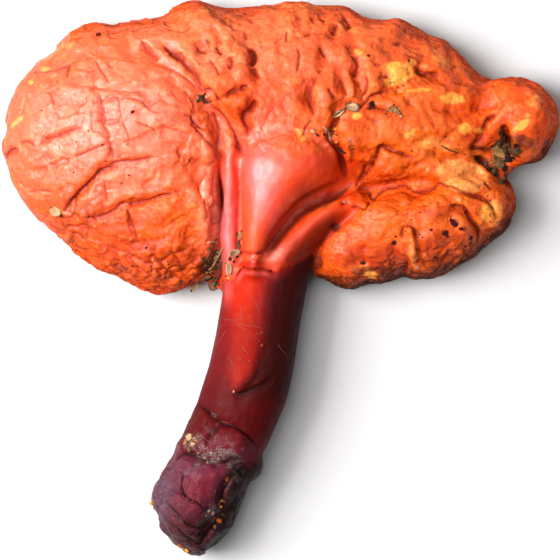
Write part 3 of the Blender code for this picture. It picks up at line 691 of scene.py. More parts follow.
# Painted shade on the low front and right rims
RIM_SHADE = srgb(38, 12, 2)
BROWN = srgb(76, 24, 4)
MEMBRANE = srgb(150, 92, 104)
RIGHT_TAN = srgb(228, 100, 24)
# Painted highlight on the lip's roll below the seam
LIP_HIGHLIGHT_PINK = srgb(226, 96, 90)
STEM_ORANGE = srgb(126, 17, 2)
STEM_TOP = srgb(160, 26, 0)
STEM_CRIMSON = srgb(100, 16, 20)
# Painted shadow over dark maroon on the stem's right side
STEM_DARK_SHADOW = srgb(28, 9, 6)
STEM_MAROON = srgb(68, 7, 9)
FOOT_PURPLE = srgb(92, 28, 42)
# Painted violet sheen on the foot
FOOT_VIOLET_SHEEN = srgb(78, 52, 66)
FOOT_CRIMSON = srgb(104, 26, 40)
FOOT_LOW = srgb(56, 17, 20)
# Painted shadow on the foot's right side
FOOT_SHADOW_DARK = srgb(20, 10, 7)
YELLOW = srgb(250, 160, 62)
TAN = srgb(240, 134, 58)
PURPLE = srgb(92, 26, 26)
GREY = srgb(132, 108, 96)
# Painted shade in the seam's crease, a narrow gap and the groove beside the tongue
GROOVE_SHADE_BROWN = srgb(40, 10, 4)
PORE_CREAM = srgb(214, 186, 142)
PORE_PALE = srgb(240, 216, 168)

# Plan rows, and the plan column of each line or its width there
STREAK_MIDDLE = ([270, 300, 330, 360, 392], [246, 244, 244, 243, 234])
STREAK_WIDTH = ([270, 300, 340, 370, 392], [21, 14, 13, 10, 4])
SHADOW_EDGE = ([270, 285, 310, 340, 360, 378, 392, 560], [290, 270, 266, 263, 258, 249, 236, 236])
FOOT_SHADOW_EDGE = ([440, 466, 478, 500, 530, 560], [262, 226, 224, 222, 210, 190])

tint = np.tile(CRUST, (count, 1))
broad = ragged(points, 22 * MM, 2, 2.0)
medium = ragged(points, 6 * MM, 2, 8.0)
small = ragged(points, 1.7 * MM, 2, 12.0)
rim_height = np.clip((points[:, 2] / MM - 3) / 12, 0, 1)
rough = 1 - calm
# Painted shade on the far flank of the right fold and on the tongue's flank
fold_shade = 1.5 * patch(flat, 309, 243, 42, 13, 40) + 0.6 * patch(flat, 304, 186, 12, 26, -30)
for colour, share in (
    # Partly painted sheen over the left lobe
    (CRUST_PINK_SHEEN, np.clip(1.1 * patch(flat, 108, 118, 92, 60), 0, 0.85)),
    (KNOB_ORANGE, 0.8 * patch(flat, 528, 108, 34, 30)),
    # Partly painted sheen over the back
    (BACK_SALMON_SHEEN, np.clip(1.2 * patch(flat, 285, 55, 130, 48), 0, 0.85)),
    (RIGHT_TAN, 0.6 * step_between(350, 400, plan[:, 0]) * step_between(-0.3, 0.5, broad)),
    (MARGIN, (1 - rim_height) * 0.8 * rough),
    (MARGIN, 0.5 * step_between(0.1, 0.6, medium) * rough),
    (VALLEY_RED, 0.8 * patch(flat, 262, 112, 34, 50)),
    (VALLEY_RED, 0.5 * patch(flat, 330, 60, 40, 40)),
    (TONGUE_RED, calm * 0.9),
    (STRAP_PINK, np.clip(1.2 * patch(flat, 228, 222, 8, 46), 0, 0.9) * calm),
    (MEMBRANE, np.clip(1.5 * patch(flat, 219, 214, 3.2, 22), 0, 0.85)),
    (FOLD_SHADE_BROWN, np.clip(fold_shade, 0, 0.95) * calm),
    (RIM_BROWN, np.clip(1.1 * lower_rims * (0.7 + 0.8 * medium), 0, 1) * rough),
):
    tint = blend(tint, colour, share)

# Painted shade: lower parts of the rims darker and more saturated, away from the light
low_shade = (1 - step_between(9 * MM, 21 * MM, points[:, 2])) * rough * step_between(60, 140, plan[:, 0])
tint = tint * (1 - low_shade[:, None] * np.array([0.2, 0.46, 0.75]))
# Painted sheen over the left lobe
left_sheen = 0.42 * patch(flat, 84, 122, 42, 36) + 0.3 * patch(flat, 150, 100, 34, 24, -20)
low_rim = 1 - step_between(11 * MM, 22 * MM, points[:, 2])
for colour, share in (
    (SHEEN_PINK, np.clip(left_sheen, 0, 0.6)),
    # Painted highlight on the left lobe's right wall, which faces away from the light
    (SHEEN_PINK, 0.65 * patch(flat, 209, 202, 9, 44) * rough),
    # Painted highlight along the tongue's left half
    (TONGUE_SHEEN, 0.55 * patch(flat, 262, 182, 16, 36, 12)),
    (TONGUE_ORANGE, 0.8 * patch(flat, 302, 170, 20, 16, 0) * calm),
    (TONGUE_ORANGE, 0.6 * patch(flat, 286, 208, 12, 26, 30) * calm),
    # Painted sheen over the back
    (SHEEN_PINK, 0.3 * patch(flat, 215, 50, 90, 34) * (0.6 + 0.8 * medium)),
    # Painted shade on the low front rims
    (RIM_SHADE, np.clip(1.7 * front_rim_shade, 0, 0.95) * rough * low_rim),
):
    tint = blend(tint, colour, share)

# The stem: an orange-red streak down to the sheath's tip between a crimson side and a dark side, the dark
# side painted shadow over dark maroon
below_seam = step_between(-0.7 * MM, 0.9 * MM, -seam_side) * (plan[:, 0] > 219) * (plan[:, 0] < 315)
stem_share = np.where(plan[:, 1] < 298, below_seam * (plan[:, 1] > 240), np.where(on_stem_side, 1, 0))
down = plan[:, 1]
streak = np.interp(down, *STREAK_MIDDLE)
streak_width = np.interp(down, *STREAK_WIDTH)
in_streak = np.exp(-(((plan[:, 0] - streak) / streak_width) ** 2)) * (1 - step_between(372, 396, down))
shadow_side = step_between(-7, 9, plan[:, 0] - np.interp(down, *SHADOW_EDGE))
# Painted sheen: violet highlights on the foot's left side
foot_sheen = 0.9 * patch(flat, 190, 468, 24, 8, 4) * (0.6 + 0.8 * medium)
foot_sheen = patch(flat, 158, 498, 14, 30, -15) + foot_sheen
foot_shadow = step_between(-6, 10, plan[:, 0] - np.interp(down, *FOOT_SHADOW_EDGE) + 6 * small)
stem_tint = np.tile(STEM_CRIMSON * 0.86, (count, 1))
for colour, share in (
    (STEM_MAROON, step_between(330, 420, down + 12 * medium)),
    (STEM_ORANGE, np.clip(in_streak * 1.25, 0, 1)),
    (STEM_TOP, np.clip(1.15 * patch(flat, 243, 284, 14, 30), 0, 0.95)),
    # Painted shadow over dark maroon on the right side
    (STEM_DARK_SHADOW, 0.8 * shadow_side * (1 - step_between(385, 412, down))),
    (FOOT_PURPLE, step_between(425, 466, down + 10 * medium)),
    (FOOT_LOW, 0.85 * step_between(496, 524, down + 8 * medium)),
    (FOOT_VIOLET_SHEEN, np.clip(1.1 * foot_sheen, 0, 0.9)),
    (FOOT_CRIMSON, np.clip(patch(flat, 200, 488, 16, 14), 0, 0.8)),
    # Painted shadow on the foot's right side
    (FOOT_SHADOW_DARK, foot_shadow * step_between(448, 470, down)),
    # Painted highlight on the lip below the seam and on the stem's top left
    (LIP_HIGHLIGHT_PINK, 0.4 * roll_share + 0.35 * patch(flat, 228, 290, 5, 14)),
):
    stem_tint = blend(stem_tint, colour, share)
for colour, share in (
    (stem_tint, stem_share),
    # Painted shade on the collar below the tongue and in the gap beside the right fold
    (FOLD_SHADE_BROWN, 0.45 * patch(flat, 262, 266, 12, 4) + 0.7 * patch(flat, 326, 222, 15, 6, 42)),
    (DEEP_ORANGE * 0.8, 0.6 * patch(flat, 370, 258, 44, 13, -4)),
    # Painted shade on the front lobe's lower rim
    (RIM_SHADE, np.clip(patch(flat, 384, 285, 54, 9, 3), 0, 0.8) * (1 - stem_share)),
    # Painted shade in the crease along the seam
    (GROOVE_SHADE_BROWN, 0.6 * crease_share),
    # Darker red: painted shade on the collar
    (TONGUE_RED * np.array([0.5, 0.3, 0.2]), np.clip(1.2 * patch(flat, 252, 264, 13, 5), 0, 0.95)),
    # Painted highlight on the right fold's lower end
    (SHEEN_PINK, 0.5 * patch(flat, 275, 254, 9, 5, 50)),
    # Painted shade in the gap left of the strap's foot
    (GROOVE_SHADE_BROWN, 0.85 * patch(flat, 220, 264, 4.5, 18)),
):
    tint = blend(tint, colour, share)

# Spots of another colour: plan cell, half sizes in cells, turn in degrees, weight
YELLOW_PATCHES = [
    (401, 72, 13, 8, -20, 1.3), (391, 83, 8, 5, 10, 1.1), (410, 64, 6, 4, 0, 1.0),
    (358, 53, 5, 3, -10, 0.9),
    (415, 91, 16, 2.6, 4, 0.9), (400, 77, 11, 7, 15, 1.4), (451, 99, 13, 6, 0, 1.1),
    (464, 129, 6, 6, 0, 1.3), (477, 131, 5, 3, 0, 1.2),
    (408, 135, 9, 7, 0, 0.7), (356, 117, 5, 4, 0, 0.9), (521, 126, 9, 4, 30, 1.2),
    (535, 97, 3, 2, 0, 1.0),
    (527, 116, 3, 2.5, 0, 1.0), (488, 213, 9, 10, 0, 0.9), (498, 155, 6, 11, 0, 1.2),
    (371, 275, 7, 4, 0, 1.0),
    (45, 68, 6, 2.5, 10, 1.0), (31, 82, 4, 3, 0, 0.9), (412, 252, 3.0, 14, 0, 0.5),
    (17, 122, 10, 2.2, 42, 0.9), (228, 22, 4, 3, 0, 0.6), (300, 137, 12, 9, 0, 0.5),
    (60, 212, 4, 3, 0, 0.8),
]
TAN_PATCHES = [
    (440, 60, 26, 10, -35, 0.5), (430, 145, 22, 10, 0, 0.6),
    (206, 10, 14, 6, 0, 0.4), (300, 6, 40, 5, 0, 0.5), (360, 268, 16, 8, 0, 0.4),
    (530, 100, 16, 14, 0, 0.5),
    (60, 50, 36, 10, 35, 0.45),
]
DEEP_PATCHES = [
    (372, 176, 26, 12, -20, 1.1), (372, 256, 40, 13, 0, 1.0), (112, 222, 60, 20, 0, 0.7),
    (440, 212, 40, 8, 0, 0.8), (205, 262, 14, 22, 0, 0.9), (330, 150, 16, 30, 0, 0.9),
    (300, 100, 20, 16, 0, 0.6), (240, 110, 16, 22, 0, 0.7), (412, 62, 30, 10, 20, 0.6),
    (140, 255, 50, 18, -8, 0.8),
    (480, 140, 24, 8, 0, 0.9), (440, 240, 40, 12, 0, 0.8), (395, 118, 24, 6, 0, 0.7),
    (545, 130, 14, 26, 0, 0.7),
]
# Brown patches: partly the crust's own brown, partly painted shade on the lower rims and in the gaps beside
# the folds
BROWN_AND_SHADE_PATCHES = [
    (517, 143, 16, 8, 0, 1.4), (548, 150, 8, 12, 20, 1.0), (470, 262, 20, 5, 20, 1.0),
    (345, 284, 26, 5, 0, 1.1),
    (519, 142, 11, 6, 0, 1.2), (503, 150, 5, 14, 0, 1.1), (484, 160, 9, 5, -30, 1.0),
    (497, 236, 7, 13, -20, 1.0),
    (380, 272, 30, 6, 0, 1.0), (452, 268, 26, 6, 8, 1.0), (205, 266, 8, 12, 0, 1.0),
    (338, 196, 22, 3, 40, 0.9),
    (120, 268, 16, 4, -24, 0.8), (506, 180, 5, 8, 0, 0.9), (318, 262, 5, 9, 0, 1.0),
    (351, 150, 4, 12, 0, 0.9),
]
# Dark purple spots; those in the narrow gaps beside the strap and the right fold are painted shade
PURPLE_SPOTS = [
    (455, 223, 4.2, 4.2, 0, 1.2), (444, 233, 3.6, 3.6, 0, 1.2), (463, 229, 2.8, 2.8, 0, 1.2),
    (394, 243, 2.8, 2.8, 0, 1.1),
    (362, 263, 2.4, 2.4, 0, 1.1), (434, 257, 1.8, 1.8, 0, 1.0), (430, 230, 2.4, 2, 0, 0.9),
    (371, 106, 4.2, 4.2, 0, 1.2),
    (368, 57, 2, 2, 0, 1.0), (390, 84, 1.6, 1.6, 0, 1.0), (408, 62, 2, 1.6, 0, 1.0),
    (335, 227, 5, 4, 0, 1.1),
    (502, 137, 3, 12, 0, 1.2), (396, 45, 5, 3, 0, 0.8), (470, 240, 3, 7, 0, 0.8),
    (478, 148, 8, 2.4, 0, 1.0),
    (489, 168, 12, 3, -38, 1.0), (206, 44, 2.6, 5, 0, 0.9), (218, 190, 4, 26, 0, 0.8),
    (344, 203, 4, 3, 0, 0.9),
]
# Bare scars with a sharp edge: plan cell, half sizes in cells, turn in degrees, colour
SCARS = [
    (462, 177, 29, 18, -14, srgb(252, 152, 76)), (412, 254, 3.6, 18, 8, srgb(214, 112, 48)),
    (494, 214, 8, 16, -10, srgb(248, 146, 60)),
]
# Painted shadow along the groove between the tongue and the right fold
GROOVE_SHADOW_LINE = [(262, 268), (270, 254), (281, 237), (294, 222), (308, 210), (328, 199), (348, 191)]
edge_noise = 0.45 * small + 0.35 * medium
for patches, colour, strength in (
    (DEEP_PATCHES, DEEP_ORANGE, 0.6),
    (TAN_PATCHES, TAN, 0.85),
    # Partly painted shade
    (BROWN_AND_SHADE_PATCHES, BROWN, 0.85),
    (YELLOW_PATCHES, YELLOW, 0.95),
    (PURPLE_SPOTS, PURPLE, 0.9),
):
    for *oval, weight in patches:
        amount = patch(flat, *oval)
        ragged_amount = weight * amount + edge_noise * amount**0.5 * 0.8
        tint = blend(tint, colour, facing_up * strength * step_between(0.28, 0.62, ragged_amount))

for *oval, colour in SCARS:
    amount = facing_up * step_between(0.4, 0.48, patch(flat, *oval) + 0.12 * edge_noise)
    tint = blend(tint, colour * (1 + 0.1 * medium[:, None]), 0.9 * amount)
shadow_line_gap, shadow_line_share = nearest_on(flat, place(smooth_curve(GROOVE_SHADOW_LINE, 4)))
shadow_line_fade = np.clip(np.minimum(shadow_line_share, 1 - shadow_line_share) / 0.2, 0, 1)
tint = blend(tint, GROOVE_SHADE_BROWN, 0.9 * np.exp(-((shadow_line_gap / (1.5 * MM)) ** 2)) * shadow_line_fade)

# Soil on the foot and in a few pockets of the cap: plan cell, half sizes, turn in degrees, weight
SOIL = [
    (216, 456, 24, 12, 10, 1.0), (190, 441, 10, 9, 0, 0.9), (212, 512, 12, 9, 0, 0.8),
    (214, 420, 16, 22, 20, 0.34), (236, 480, 10, 34, 12, 0.3), (160, 500, 10, 16, 0, 0.5),
    (190, 552, 18, 8, 0, 0.8), (228, 258, 6, 22, 0, 0.5), (216, 262, 8, 18, 0, 0.4),
    (498, 158, 10, 14, 0, 0.6),
]
soil = np.clip(sum(weight * patch(flat, *oval) for *oval, weight in SOIL), 0, 1)
soil = step_between(0.35, 0.8, soil * 0.85 + 0.45 * medium + 0.6 * small) * np.clip(soil * 2.2, 0, 1)

# The pore side: cream, with a paler growing margin that reaches up the rim, kept to the left rims, which
# face the light, so partly painted light
under_edge = (1 - step_between(1.0 * MM, 6.5 * MM, points[:, 2])) * (1 - calm) * (1 - stem_share)
under_edge = under_edge * (1 - np.clip(1.5 * front_rim_shade, 0, 1))
tint = blend(tint, MARGIN_EDGE, 0.5 * under_edge * (1 - step_between(60, 160, plan[:, 0])))
pore_tint = np.tile(PORE_CREAM, (count, 1))
pore_tint = blend(pore_tint, PORE_PALE, step_between(0.3 * MM, 2.0 * MM, points[:, 2]))
tint = blend(tint, pore_tint, below * (1 - stem_share))


def add_attribute(mesh, name, values):
    if values.ndim == 1:
        layer = mesh.attributes.new(name, "FLOAT", "POINT")
        layer.data.foreach_set("value", values.astype(np.float32))
    else:
        layer = mesh.attributes.new(name, "FLOAT_COLOR", "POINT")
        with_alpha = np.column_stack([values, np.ones(len(values))])
        layer.data.foreach_set("color", with_alpha.astype(np.float32).ravel())


attributes = {
    "tint": np.clip(tint, 0, 1), "calm": np.clip(calm, 0, 1), "groove_shade": groove_shade, "ridge_highlight": ridge_highlight, "soil": soil,
    "line_side": line_side / MM, "line_power": line_power, "fold_side": fold_side,
}
for name, values in attributes.items():
    add_attribute(whole, name, values)


# Materials


def new_material(name):
    material = bpy.data.materials.new(name)
    material.use_nodes = True
    return material, Graph(material.node_tree), material.node_tree.nodes["Principled BSDF"]


class Graph:
    """Adds nodes to a material's tree; each method gives back the socket that holds its result."""

    def __init__(self, tree):
        self.tree = tree

    def feed(self, socket, value):
        """Links a socket to another, or sets it to a number or a colour."""
        if isinstance(value, bpy.types.NodeSocket):
            self.tree.links.new(value, socket)
        else:
            socket.default_value = value

    def add(self, kind, inputs=None, output=0, **settings):
        made = self.tree.nodes.new(kind)
        for key, value in settings.items():
            setattr(made, key, value)
        for key, value in (inputs or {}).items():
            self.feed(made.inputs[key], value)
        return made.outputs[output]

    def mix(self, share, first, second, mode="MIX"):
        colours = [c if isinstance(c, bpy.types.NodeSocket) else (*c, 1) for c in (first, second)]
        inputs = {0: share, 6: colours[0], 7: colours[1]}
        return self.add("ShaderNodeMix", inputs, 2, data_type="RGBA", blend_type=mode)

    def maths(self, operation, *values, clamp=False):
        return self.add("ShaderNodeMath", dict(enumerate(values)), operation=operation, use_clamp=clamp)

    def times(self, first, second, clamp=False):
        return self.maths("MULTIPLY", first, second, clamp=clamp)

    def minus(self, first, second, clamp=False):
        return self.maths("SUBTRACT", first, second, clamp=clamp)

    def larger(self, first, second):
        return self.maths("MAXIMUM", first, second)

    def ramp(self, value, low, high, new_low, new_high):
        inputs = {"Value": value, "From Min": low, "From Max": high, "To Min": new_low, "To Max": new_high}
        return self.add("ShaderNodeMapRange", inputs)

    def attribute(self, name, output="Fac"):
        return self.add("ShaderNodeAttribute", None, output, attribute_name=name)

    def millimetres(self):
        """Coordinates on the piece, in millimetres."""
        coords = self.add("ShaderNodeTexCoord", None, "Object")
        return self.add("ShaderNodeMapping", {"Vector": coords, "Scale": (1 / MM, 1 / MM, 1 / MM)})

    def noise(self, vector, per_mm, detail=3.0, output="Fac"):
        inputs = {"Vector": vector, "Scale": per_mm, "Detail": detail}
        if output == "Fac":
            inputs["Roughness"] = 0.55
        return self.add("ShaderNodeTexNoise", inputs, output)

    def cells(self, vector, per_mm, **settings):
        inputs = {"Vector": vector, "Scale": per_mm}
        return self.add("ShaderNodeTexVoronoi", inputs, "Distance", **settings)

    def creases(self, vector, per_mm, width):
        """Thin branching lines: 1 along them, 0 between."""
        level = self.maths("ABSOLUTE", self.minus(self.noise(vector, per_mm, 2), 0.5))
        return self.ramp(level, 0.0, width, 1.0, 0.0)

    def bump(self, shader, strength, distance, height):
        normal = self.add("ShaderNodeBump", {"Strength": strength, "Distance": distance, "Height": height})
        self.feed(shader.inputs["Normal"], normal)


def crust_material(name, deep, pale, gloss, roughness_low, roughness_high, bump_strength):
    """Lacquered crust: the skin's own tint, mottled, with painted shade in its grooves and a painted
    highlight on its ridges.
    """
    material, graph, shader = new_material(name)
    vector = graph.millimetres()
    mottle = graph.noise(vector, 0.5, 4)
    speckle = graph.noise(vector, 2.6, 2)
    wander = graph.noise(vector, 0.7, 2.0, "Color")
    warped = graph.add("ShaderNodeVectorMath", {0: vector, 1: wander}, operation="ADD")
    crackle = graph.cells(warped, 0.62, feature="DISTANCE_TO_EDGE")
    line = graph.ramp(crackle, 0.0, 0.09, 1.0, 0.0)
    calm_here = graph.attribute("calm")
    line = graph.times(line, graph.ramp(calm_here, 0.0, 1.0, 0.3, 0.04))
    line = graph.times(line, graph.ramp(mottle, 0.42, 0.62, 0.0, 1.0))
    bent = graph.add("ShaderNodeVectorMath", {0: wander, "Scale": 5.0}, operation="SCALE")
    bent = graph.add("ShaderNodeVectorMath", {0: vector, 1: bent}, operation="ADD")
    wide_net = graph.ramp(graph.cells(bent, 0.2, feature="DISTANCE_TO_EDGE"), 0.0, 0.035, 1.0, 0.0)
    wide_net = graph.times(wide_net, graph.ramp(mottle, 0.44, 0.56, 0.15, 0.9))

    # Creases only where the crust is crumpled; cracks along the carved lines
    crumpled = graph.minus(1.0, graph.times(calm_here, 0.85))
    fine_creases = graph.times(graph.creases(vector, 1.5, 0.07), 0.7)
    creases = graph.larger(graph.creases(warped, 0.55, 0.05), fine_creases)
    creases = graph.times(creases, graph.ramp(speckle, 0.35, 0.6, 0.3, 1.0))
    creases = graph.times(creases, crumpled)
    fold_gap = graph.maths("ABSOLUTE", graph.attribute("fold_side"))
    fold_line = graph.times(graph.ramp(fold_gap, 0.0, 0.035, 1.0, 0.0), crumpled)
    fold_line = graph.times(fold_line, graph.ramp(mottle, 0.42, 0.6, 0.0, 0.8))
    creases = graph.larger(creases, fold_line)
    creases = graph.larger(creases, graph.times(wide_net, crumpled))
    wobble = graph.times(graph.minus(graph.noise(vector, 1.1, 3), 0.5), 0.9)
    crack_gap = graph.maths("ABSOLUTE", graph.maths("ADD", graph.attribute("line_side"), wobble))
    crack_width = graph.ramp(speckle, 0.35, 0.65, 0.12, 0.34)
    crack_line = graph.minus(1.0, graph.maths("DIVIDE", crack_gap, crack_width), clamp=True)
    crack_line = graph.maths("POWER", crack_line, 0.6)
    crack_line = graph.times(crack_line, graph.attribute("line_power"))

    colour = graph.attribute("tint", "Color")
    colour = graph.mix(graph.ramp(mottle, 0.4, 0.66, 0.0, 0.6), colour, (0.98, 0.66, 0.5), "MULTIPLY")
    blotch = graph.noise(vector, 0.22, 3)
    colour = graph.mix(graph.ramp(blotch, 0.44, 0.66, 0.0, 0.5), colour, (1.05, 1.6, 1.8), "MULTIPLY")
    colour = graph.mix(graph.ramp(speckle, 0.55, 0.72, 0.0, 0.22), colour, pale)
    # Painted highlight on the ridges
    colour = graph.mix(graph.times(graph.attribute("ridge_highlight"), 0.2), colour, pale)
    colour = graph.mix(line, colour, deep)
    colour = graph.mix(graph.times(creases, 0.55), colour, deep)
    colour = graph.mix(graph.times(crack_line, 0.8), colour, deep)
    # Painted shade in the cracks and hollows
    groove_shade_here = graph.times(graph.attribute("groove_shade"), graph.ramp(speckle, 0.3, 0.7, 0.65, 1.0))
    colour = graph.mix(graph.times(groove_shade_here, 0.85, clamp=True), colour, deep)
    soil_here = graph.times(graph.attribute("soil"), graph.ramp(speckle, 0.35, 0.6, 0.35, 1.0), clamp=True)
    dust = graph.mix(graph.ramp(speckle, 0.4, 0.62, 0.0, 1.0), srgb(50, 38, 40), srgb(112, 90, 88))
    graph.feed(shader.inputs["Base Color"], graph.mix(soil_here, colour, dust))

    roughness = graph.ramp(mottle, 0.3, 0.7, roughness_low, roughness_high)
    roughness = graph.maths("MULTIPLY_ADD", calm_here, 0.09, roughness)
    roughness = graph.maths("MULTIPLY_ADD", groove_shade_here, 0.12, roughness)
    roughness = graph.maths("MULTIPLY_ADD", soil_here, 0.45, roughness, clamp=True)
    graph.feed(shader.inputs["Roughness"], roughness)

    height = graph.maths("MULTIPLY_ADD", speckle, 0.25, graph.times(mottle, 0.7))
    for sunk, depth in ((line, 0.7), (creases, 0.8), (crack_line, 2.2)):
        height = graph.minus(height, graph.times(sunk, depth))
    graph.bump(shader, bump_strength, 0.11 * MM, height)
    shader.inputs["Specular IOR Level"].default_value = gloss
    return material


def pore_material():
    """The pore side: a fine sieve of round tubes in cream flesh."""
    material, graph, shader = new_material("pore_side")
    vector = graph.millimetres()
    inputs = {"Vector": vector, "Scale": 2.1, "Randomness": 0.75}
    hole = graph.ramp(graph.add("ShaderNodeTexVoronoi", inputs, "Distance"), 0.2, 0.45, 1.0, 0.0)
    stain = graph.noise(vector, 0.12, 4)
    colour = graph.mix(graph.ramp(stain, 0.45, 0.7, 0.0, 0.55), PORE_CREAM, srgb(176, 128, 78))
    colour = graph.mix(graph.times(hole, 0.6), colour, srgb(122, 84, 48))
    graph.feed(shader.inputs["Base Color"], colour)
    shader.inputs["Roughness"].default_value = 0.85
    graph.bump(shader, 0.6, 0.12 * MM, graph.minus(graph.noise(vector, 0.8, 3), hole))
    return material


# The crusts: deep and pale colour, gloss, lowest and highest roughness, strength of the bumps
cap_crust = crust_material("cap_crust", srgb(122, 22, 0), srgb(236, 116, 34), 0.28, 0.28, 0.46, 0.8)
lacquer = crust_material("lacquered_crust", srgb(136, 26, 4), srgb(240, 120, 56), 0.58, 0.28, 0.44, 0.8)
fold_crust = crust_material("fold_crust", srgb(60, 12, 4), srgb(190, 70, 40), 0.1, 0.3, 0.45, 0.6)
stem_crust = crust_material("stem_crust", srgb(24, 6, 6), srgb(104, 20, 14), 0.045, 0.36, 0.52, 0.45)
foot_crust = crust_material("foot_crust", srgb(20, 7, 7), srgb(120, 50, 60), 0.09, 0.3, 0.46, 0.9)
rim_crust = crust_material("rim_crust", srgb(72, 18, 2), srgb(226, 104, 22), 0.03, 0.5, 0.66, 0.8)
pores = pore_material()


# The two skins

# Where the lacquer shines most: the left lobe, the straps beside the tongue and the tongue itself
GLOSSY_OUTLINE = [
    (-20, 196), (-20, 40), (60, 0), (150, 10), (186, 55), (200, 88), (212, 105), (226, 122), (236, 140),
    (247, 132),
    (262, 126), (282, 124), (300, 130), (318, 138), (331, 146), (338, 160), (342, 178), (330, 192),
    (308, 206),
    (290, 220), (276, 238), (266, 256), (262, 266), (240, 268), (232, 280), (222, 282), (218, 262),
    (215, 240),
    (212, 205), (186, 192), (162, 196), (145, 201), (128, 204), (113, 212), (90, 221), (63, 214),
    (40, 200),
]
# The dull far side of the right fold
FOLD_OUTLINE = [
    (274, 274), (276, 262), (284, 250), (296, 238), (310, 226), (326, 213), (345, 200), (350, 206),
    (344, 220),
    (332, 236), (318, 250), (312, 262), (296, 272),
]

STRAP_OUTLINE = [(219, 274), (219, 176), (226, 168), (236, 168), (241, 200), (241, 274)]
FOOT_OUTLINE = [(180, 446), (193, 450), (206, 458), (222, 462), (238, 460), (250, 470), (262, 468),
                (300, 470), (300, 600), (100, 600), (100, 446)]
COLLAR_OUTLINE = [(219, 300), (219, 274), (238, 270), (241, 262), (282, 262), (282, 300)]


def cap_slots(middles, normals):
    """Which of the cap's materials each face wears: 0 crust, 1 pores, 2 lacquer, 3 fold, 4 rim."""
    cells = plan_cells(middles)
    column, row = cells[:, 0], cells[:, 1]
    index = np.zeros(len(middles), np.int32)
    index[inside(cells, GLOSSY_OUTLINE)] = 2
    index[inside(cells, STRAP_OUTLINE)] = 0
    index[inside(cells, FOLD_OUTLINE) | inside(cells, COLLAR_OUTLINE)] = 3
    inner = (column > 180) & (column < 350) & (row > 60) & (row < 262)
    index[(normals[:, 2] < 0.56) & (column > 70) & ~inner] = 4
    index[(normals[:, 2] < -0.5) & (middles[:, 2] < 8 * MM)] = 1
    return index


def stem_slots(middles, normals):
    """0 for the stem's crust, 1 for the foot's."""
    return inside(plan_cells(middles), FOOT_OUTLINE).astype(np.int32)


def thin_underside(obj, target):
    """Joins the flat underside in few faces, then thins what faces down to this many triangles in all."""
    mesh = obj.data
    body = bmesh.new()
    body.from_mesh(mesh)
    level = [v for v in body.verts if v.co.z < FLAT_BELOW and v.normal.z < -0.9]
    for vert in level:
        vert.co.z = 0
    on_level = set(level)
    edges = [e for e in body.edges if e.verts[0] in on_level and e.verts[1] in on_level]
    bmesh.ops.dissolve_limit(body, angle_limit=math.radians(0.5), verts=level, edges=edges)
    body.to_mesh(mesh)
    body.free()
    mesh.calc_loop_triangles()
    triangles = len(mesh.loop_triangles)
    if triangles <= target:
        return
    group = obj.vertex_groups.new(name="thin")
    weight = step_between(0.1, 0.8, -read_triples(mesh.vertex_normals, "vector")[:, 2])
    for index in np.nonzero(weight > 0.01)[0]:
        group.add([int(index)], float(weight[index]), "REPLACE")
    decimate = obj.modifiers.new("thin", "DECIMATE")
    decimate.ratio = target / triangles
    decimate.vertex_group = "thin"
    decimate.vertex_group_factor = 1.0
    thinned = with_modifiers(obj)
    obj.modifiers.clear()
    obj.vertex_groups.clear()
    obj.data = thinned
    thinned.name = obj.name


def skin_piece(name, source, keep, materials, choose_slots, node_name, target):
    """One skin: the faces to keep, closed where it meets the other skin."""
    body = bmesh.new()
    body.from_mesh(source)
    body.faces.ensure_lookup_table()
    bmesh.ops.delete(body, geom=[f for f, kept in zip(body.faces, keep) if not kept], context="FACES")
    rim = [e for e in body.edges if e.is_boundary]
    for edge in rim:
        edge.smooth = False
    bmesh.ops.holes_fill(body, edges=rim, sides=0)
    mesh = bpy.data.meshes.new(name)
    body.to_mesh(mesh)
    body.free()
    obj = add_object(name, mesh)
    thin_underside(obj, target)
    mesh = obj.data
    spots = read_triples(mesh.vertices, "co")
    spots[:, 2] = np.maximum(spots[:, 2], 0)
    write_points(mesh, spots)
    for material in materials:
        mesh.materials.append(material)
    middles = read_triples(mesh.polygons, "center")
    index = choose_slots(middles, read_triples(mesh.polygons, "normal"))
    mesh.polygons.foreach_set("material_index", index)
    mesh.shade_smooth()
    for face in mesh.polygons:
        if materials[face.material_index] == pores:
            face.use_smooth = False
    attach(obj, "root")
    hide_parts(node_name)


in_stem = inside(plan_cells(read_triples(whole.polygons, "center")), SEAM + SEAM_OUTER)
target = SKIN_TRIANGLES
cap_materials = [cap_crust, pores, lacquer, fold_crust, rim_crust]
skin_piece("cap_skin", whole, ~in_stem, cap_materials, cap_slots, "cap", target)
skin_piece("stem_skin", whole, in_stem, [stem_crust, foot_crust], stem_slots, "stem", target)
skin_tree = BVHTree.FromPolygons(points.tolist(), [tuple(f.vertices) for f in whole.polygons])
bpy.data.meshes.remove(whole)


# Debris stuck to the skins: grain husks, bits of straw, crumbs, flakes and fibres

BEIGE = srgb(182, 150, 112)
KHAKI = srgb(128, 94, 60)
STRAW = srgb(150, 108, 64)
BARK = srgb(74, 50, 32)
SOOT = srgb(38, 22, 16)
HONEY = srgb(206, 138, 50)
ORANGE_BIT = srgb(176, 84, 30)
BONE = srgb(150, 140, 132)
ROSE = srgb(226, 150, 140)


class Heap:
    """Small solids gathered in one mesh, each with its own colour."""

    def __init__(self):
        self.verts, self.faces, self.colours = [], [], []

    def add(self, verts, faces, colours):
        first = len(self.verts)
        self.verts.extend([tuple(v) for v in verts])
        self.faces.extend([tuple(first + k for k in face) for face in faces])
        self.colours.extend([tuple(c) for c in colours])

    def finish(self, name, material, slot, angular=False):
        mesh = bpy.data.meshes.new(name)
        mesh.from_pydata(self.verts, [], self.faces)
        add_attribute(mesh, "tint", np.clip(np.array(self.colours), 0, 1))
        if not angular:
            mesh.shade_smooth()
        mesh.materials.append(material)
        obj = add_object(name, mesh)
        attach(obj, "root")


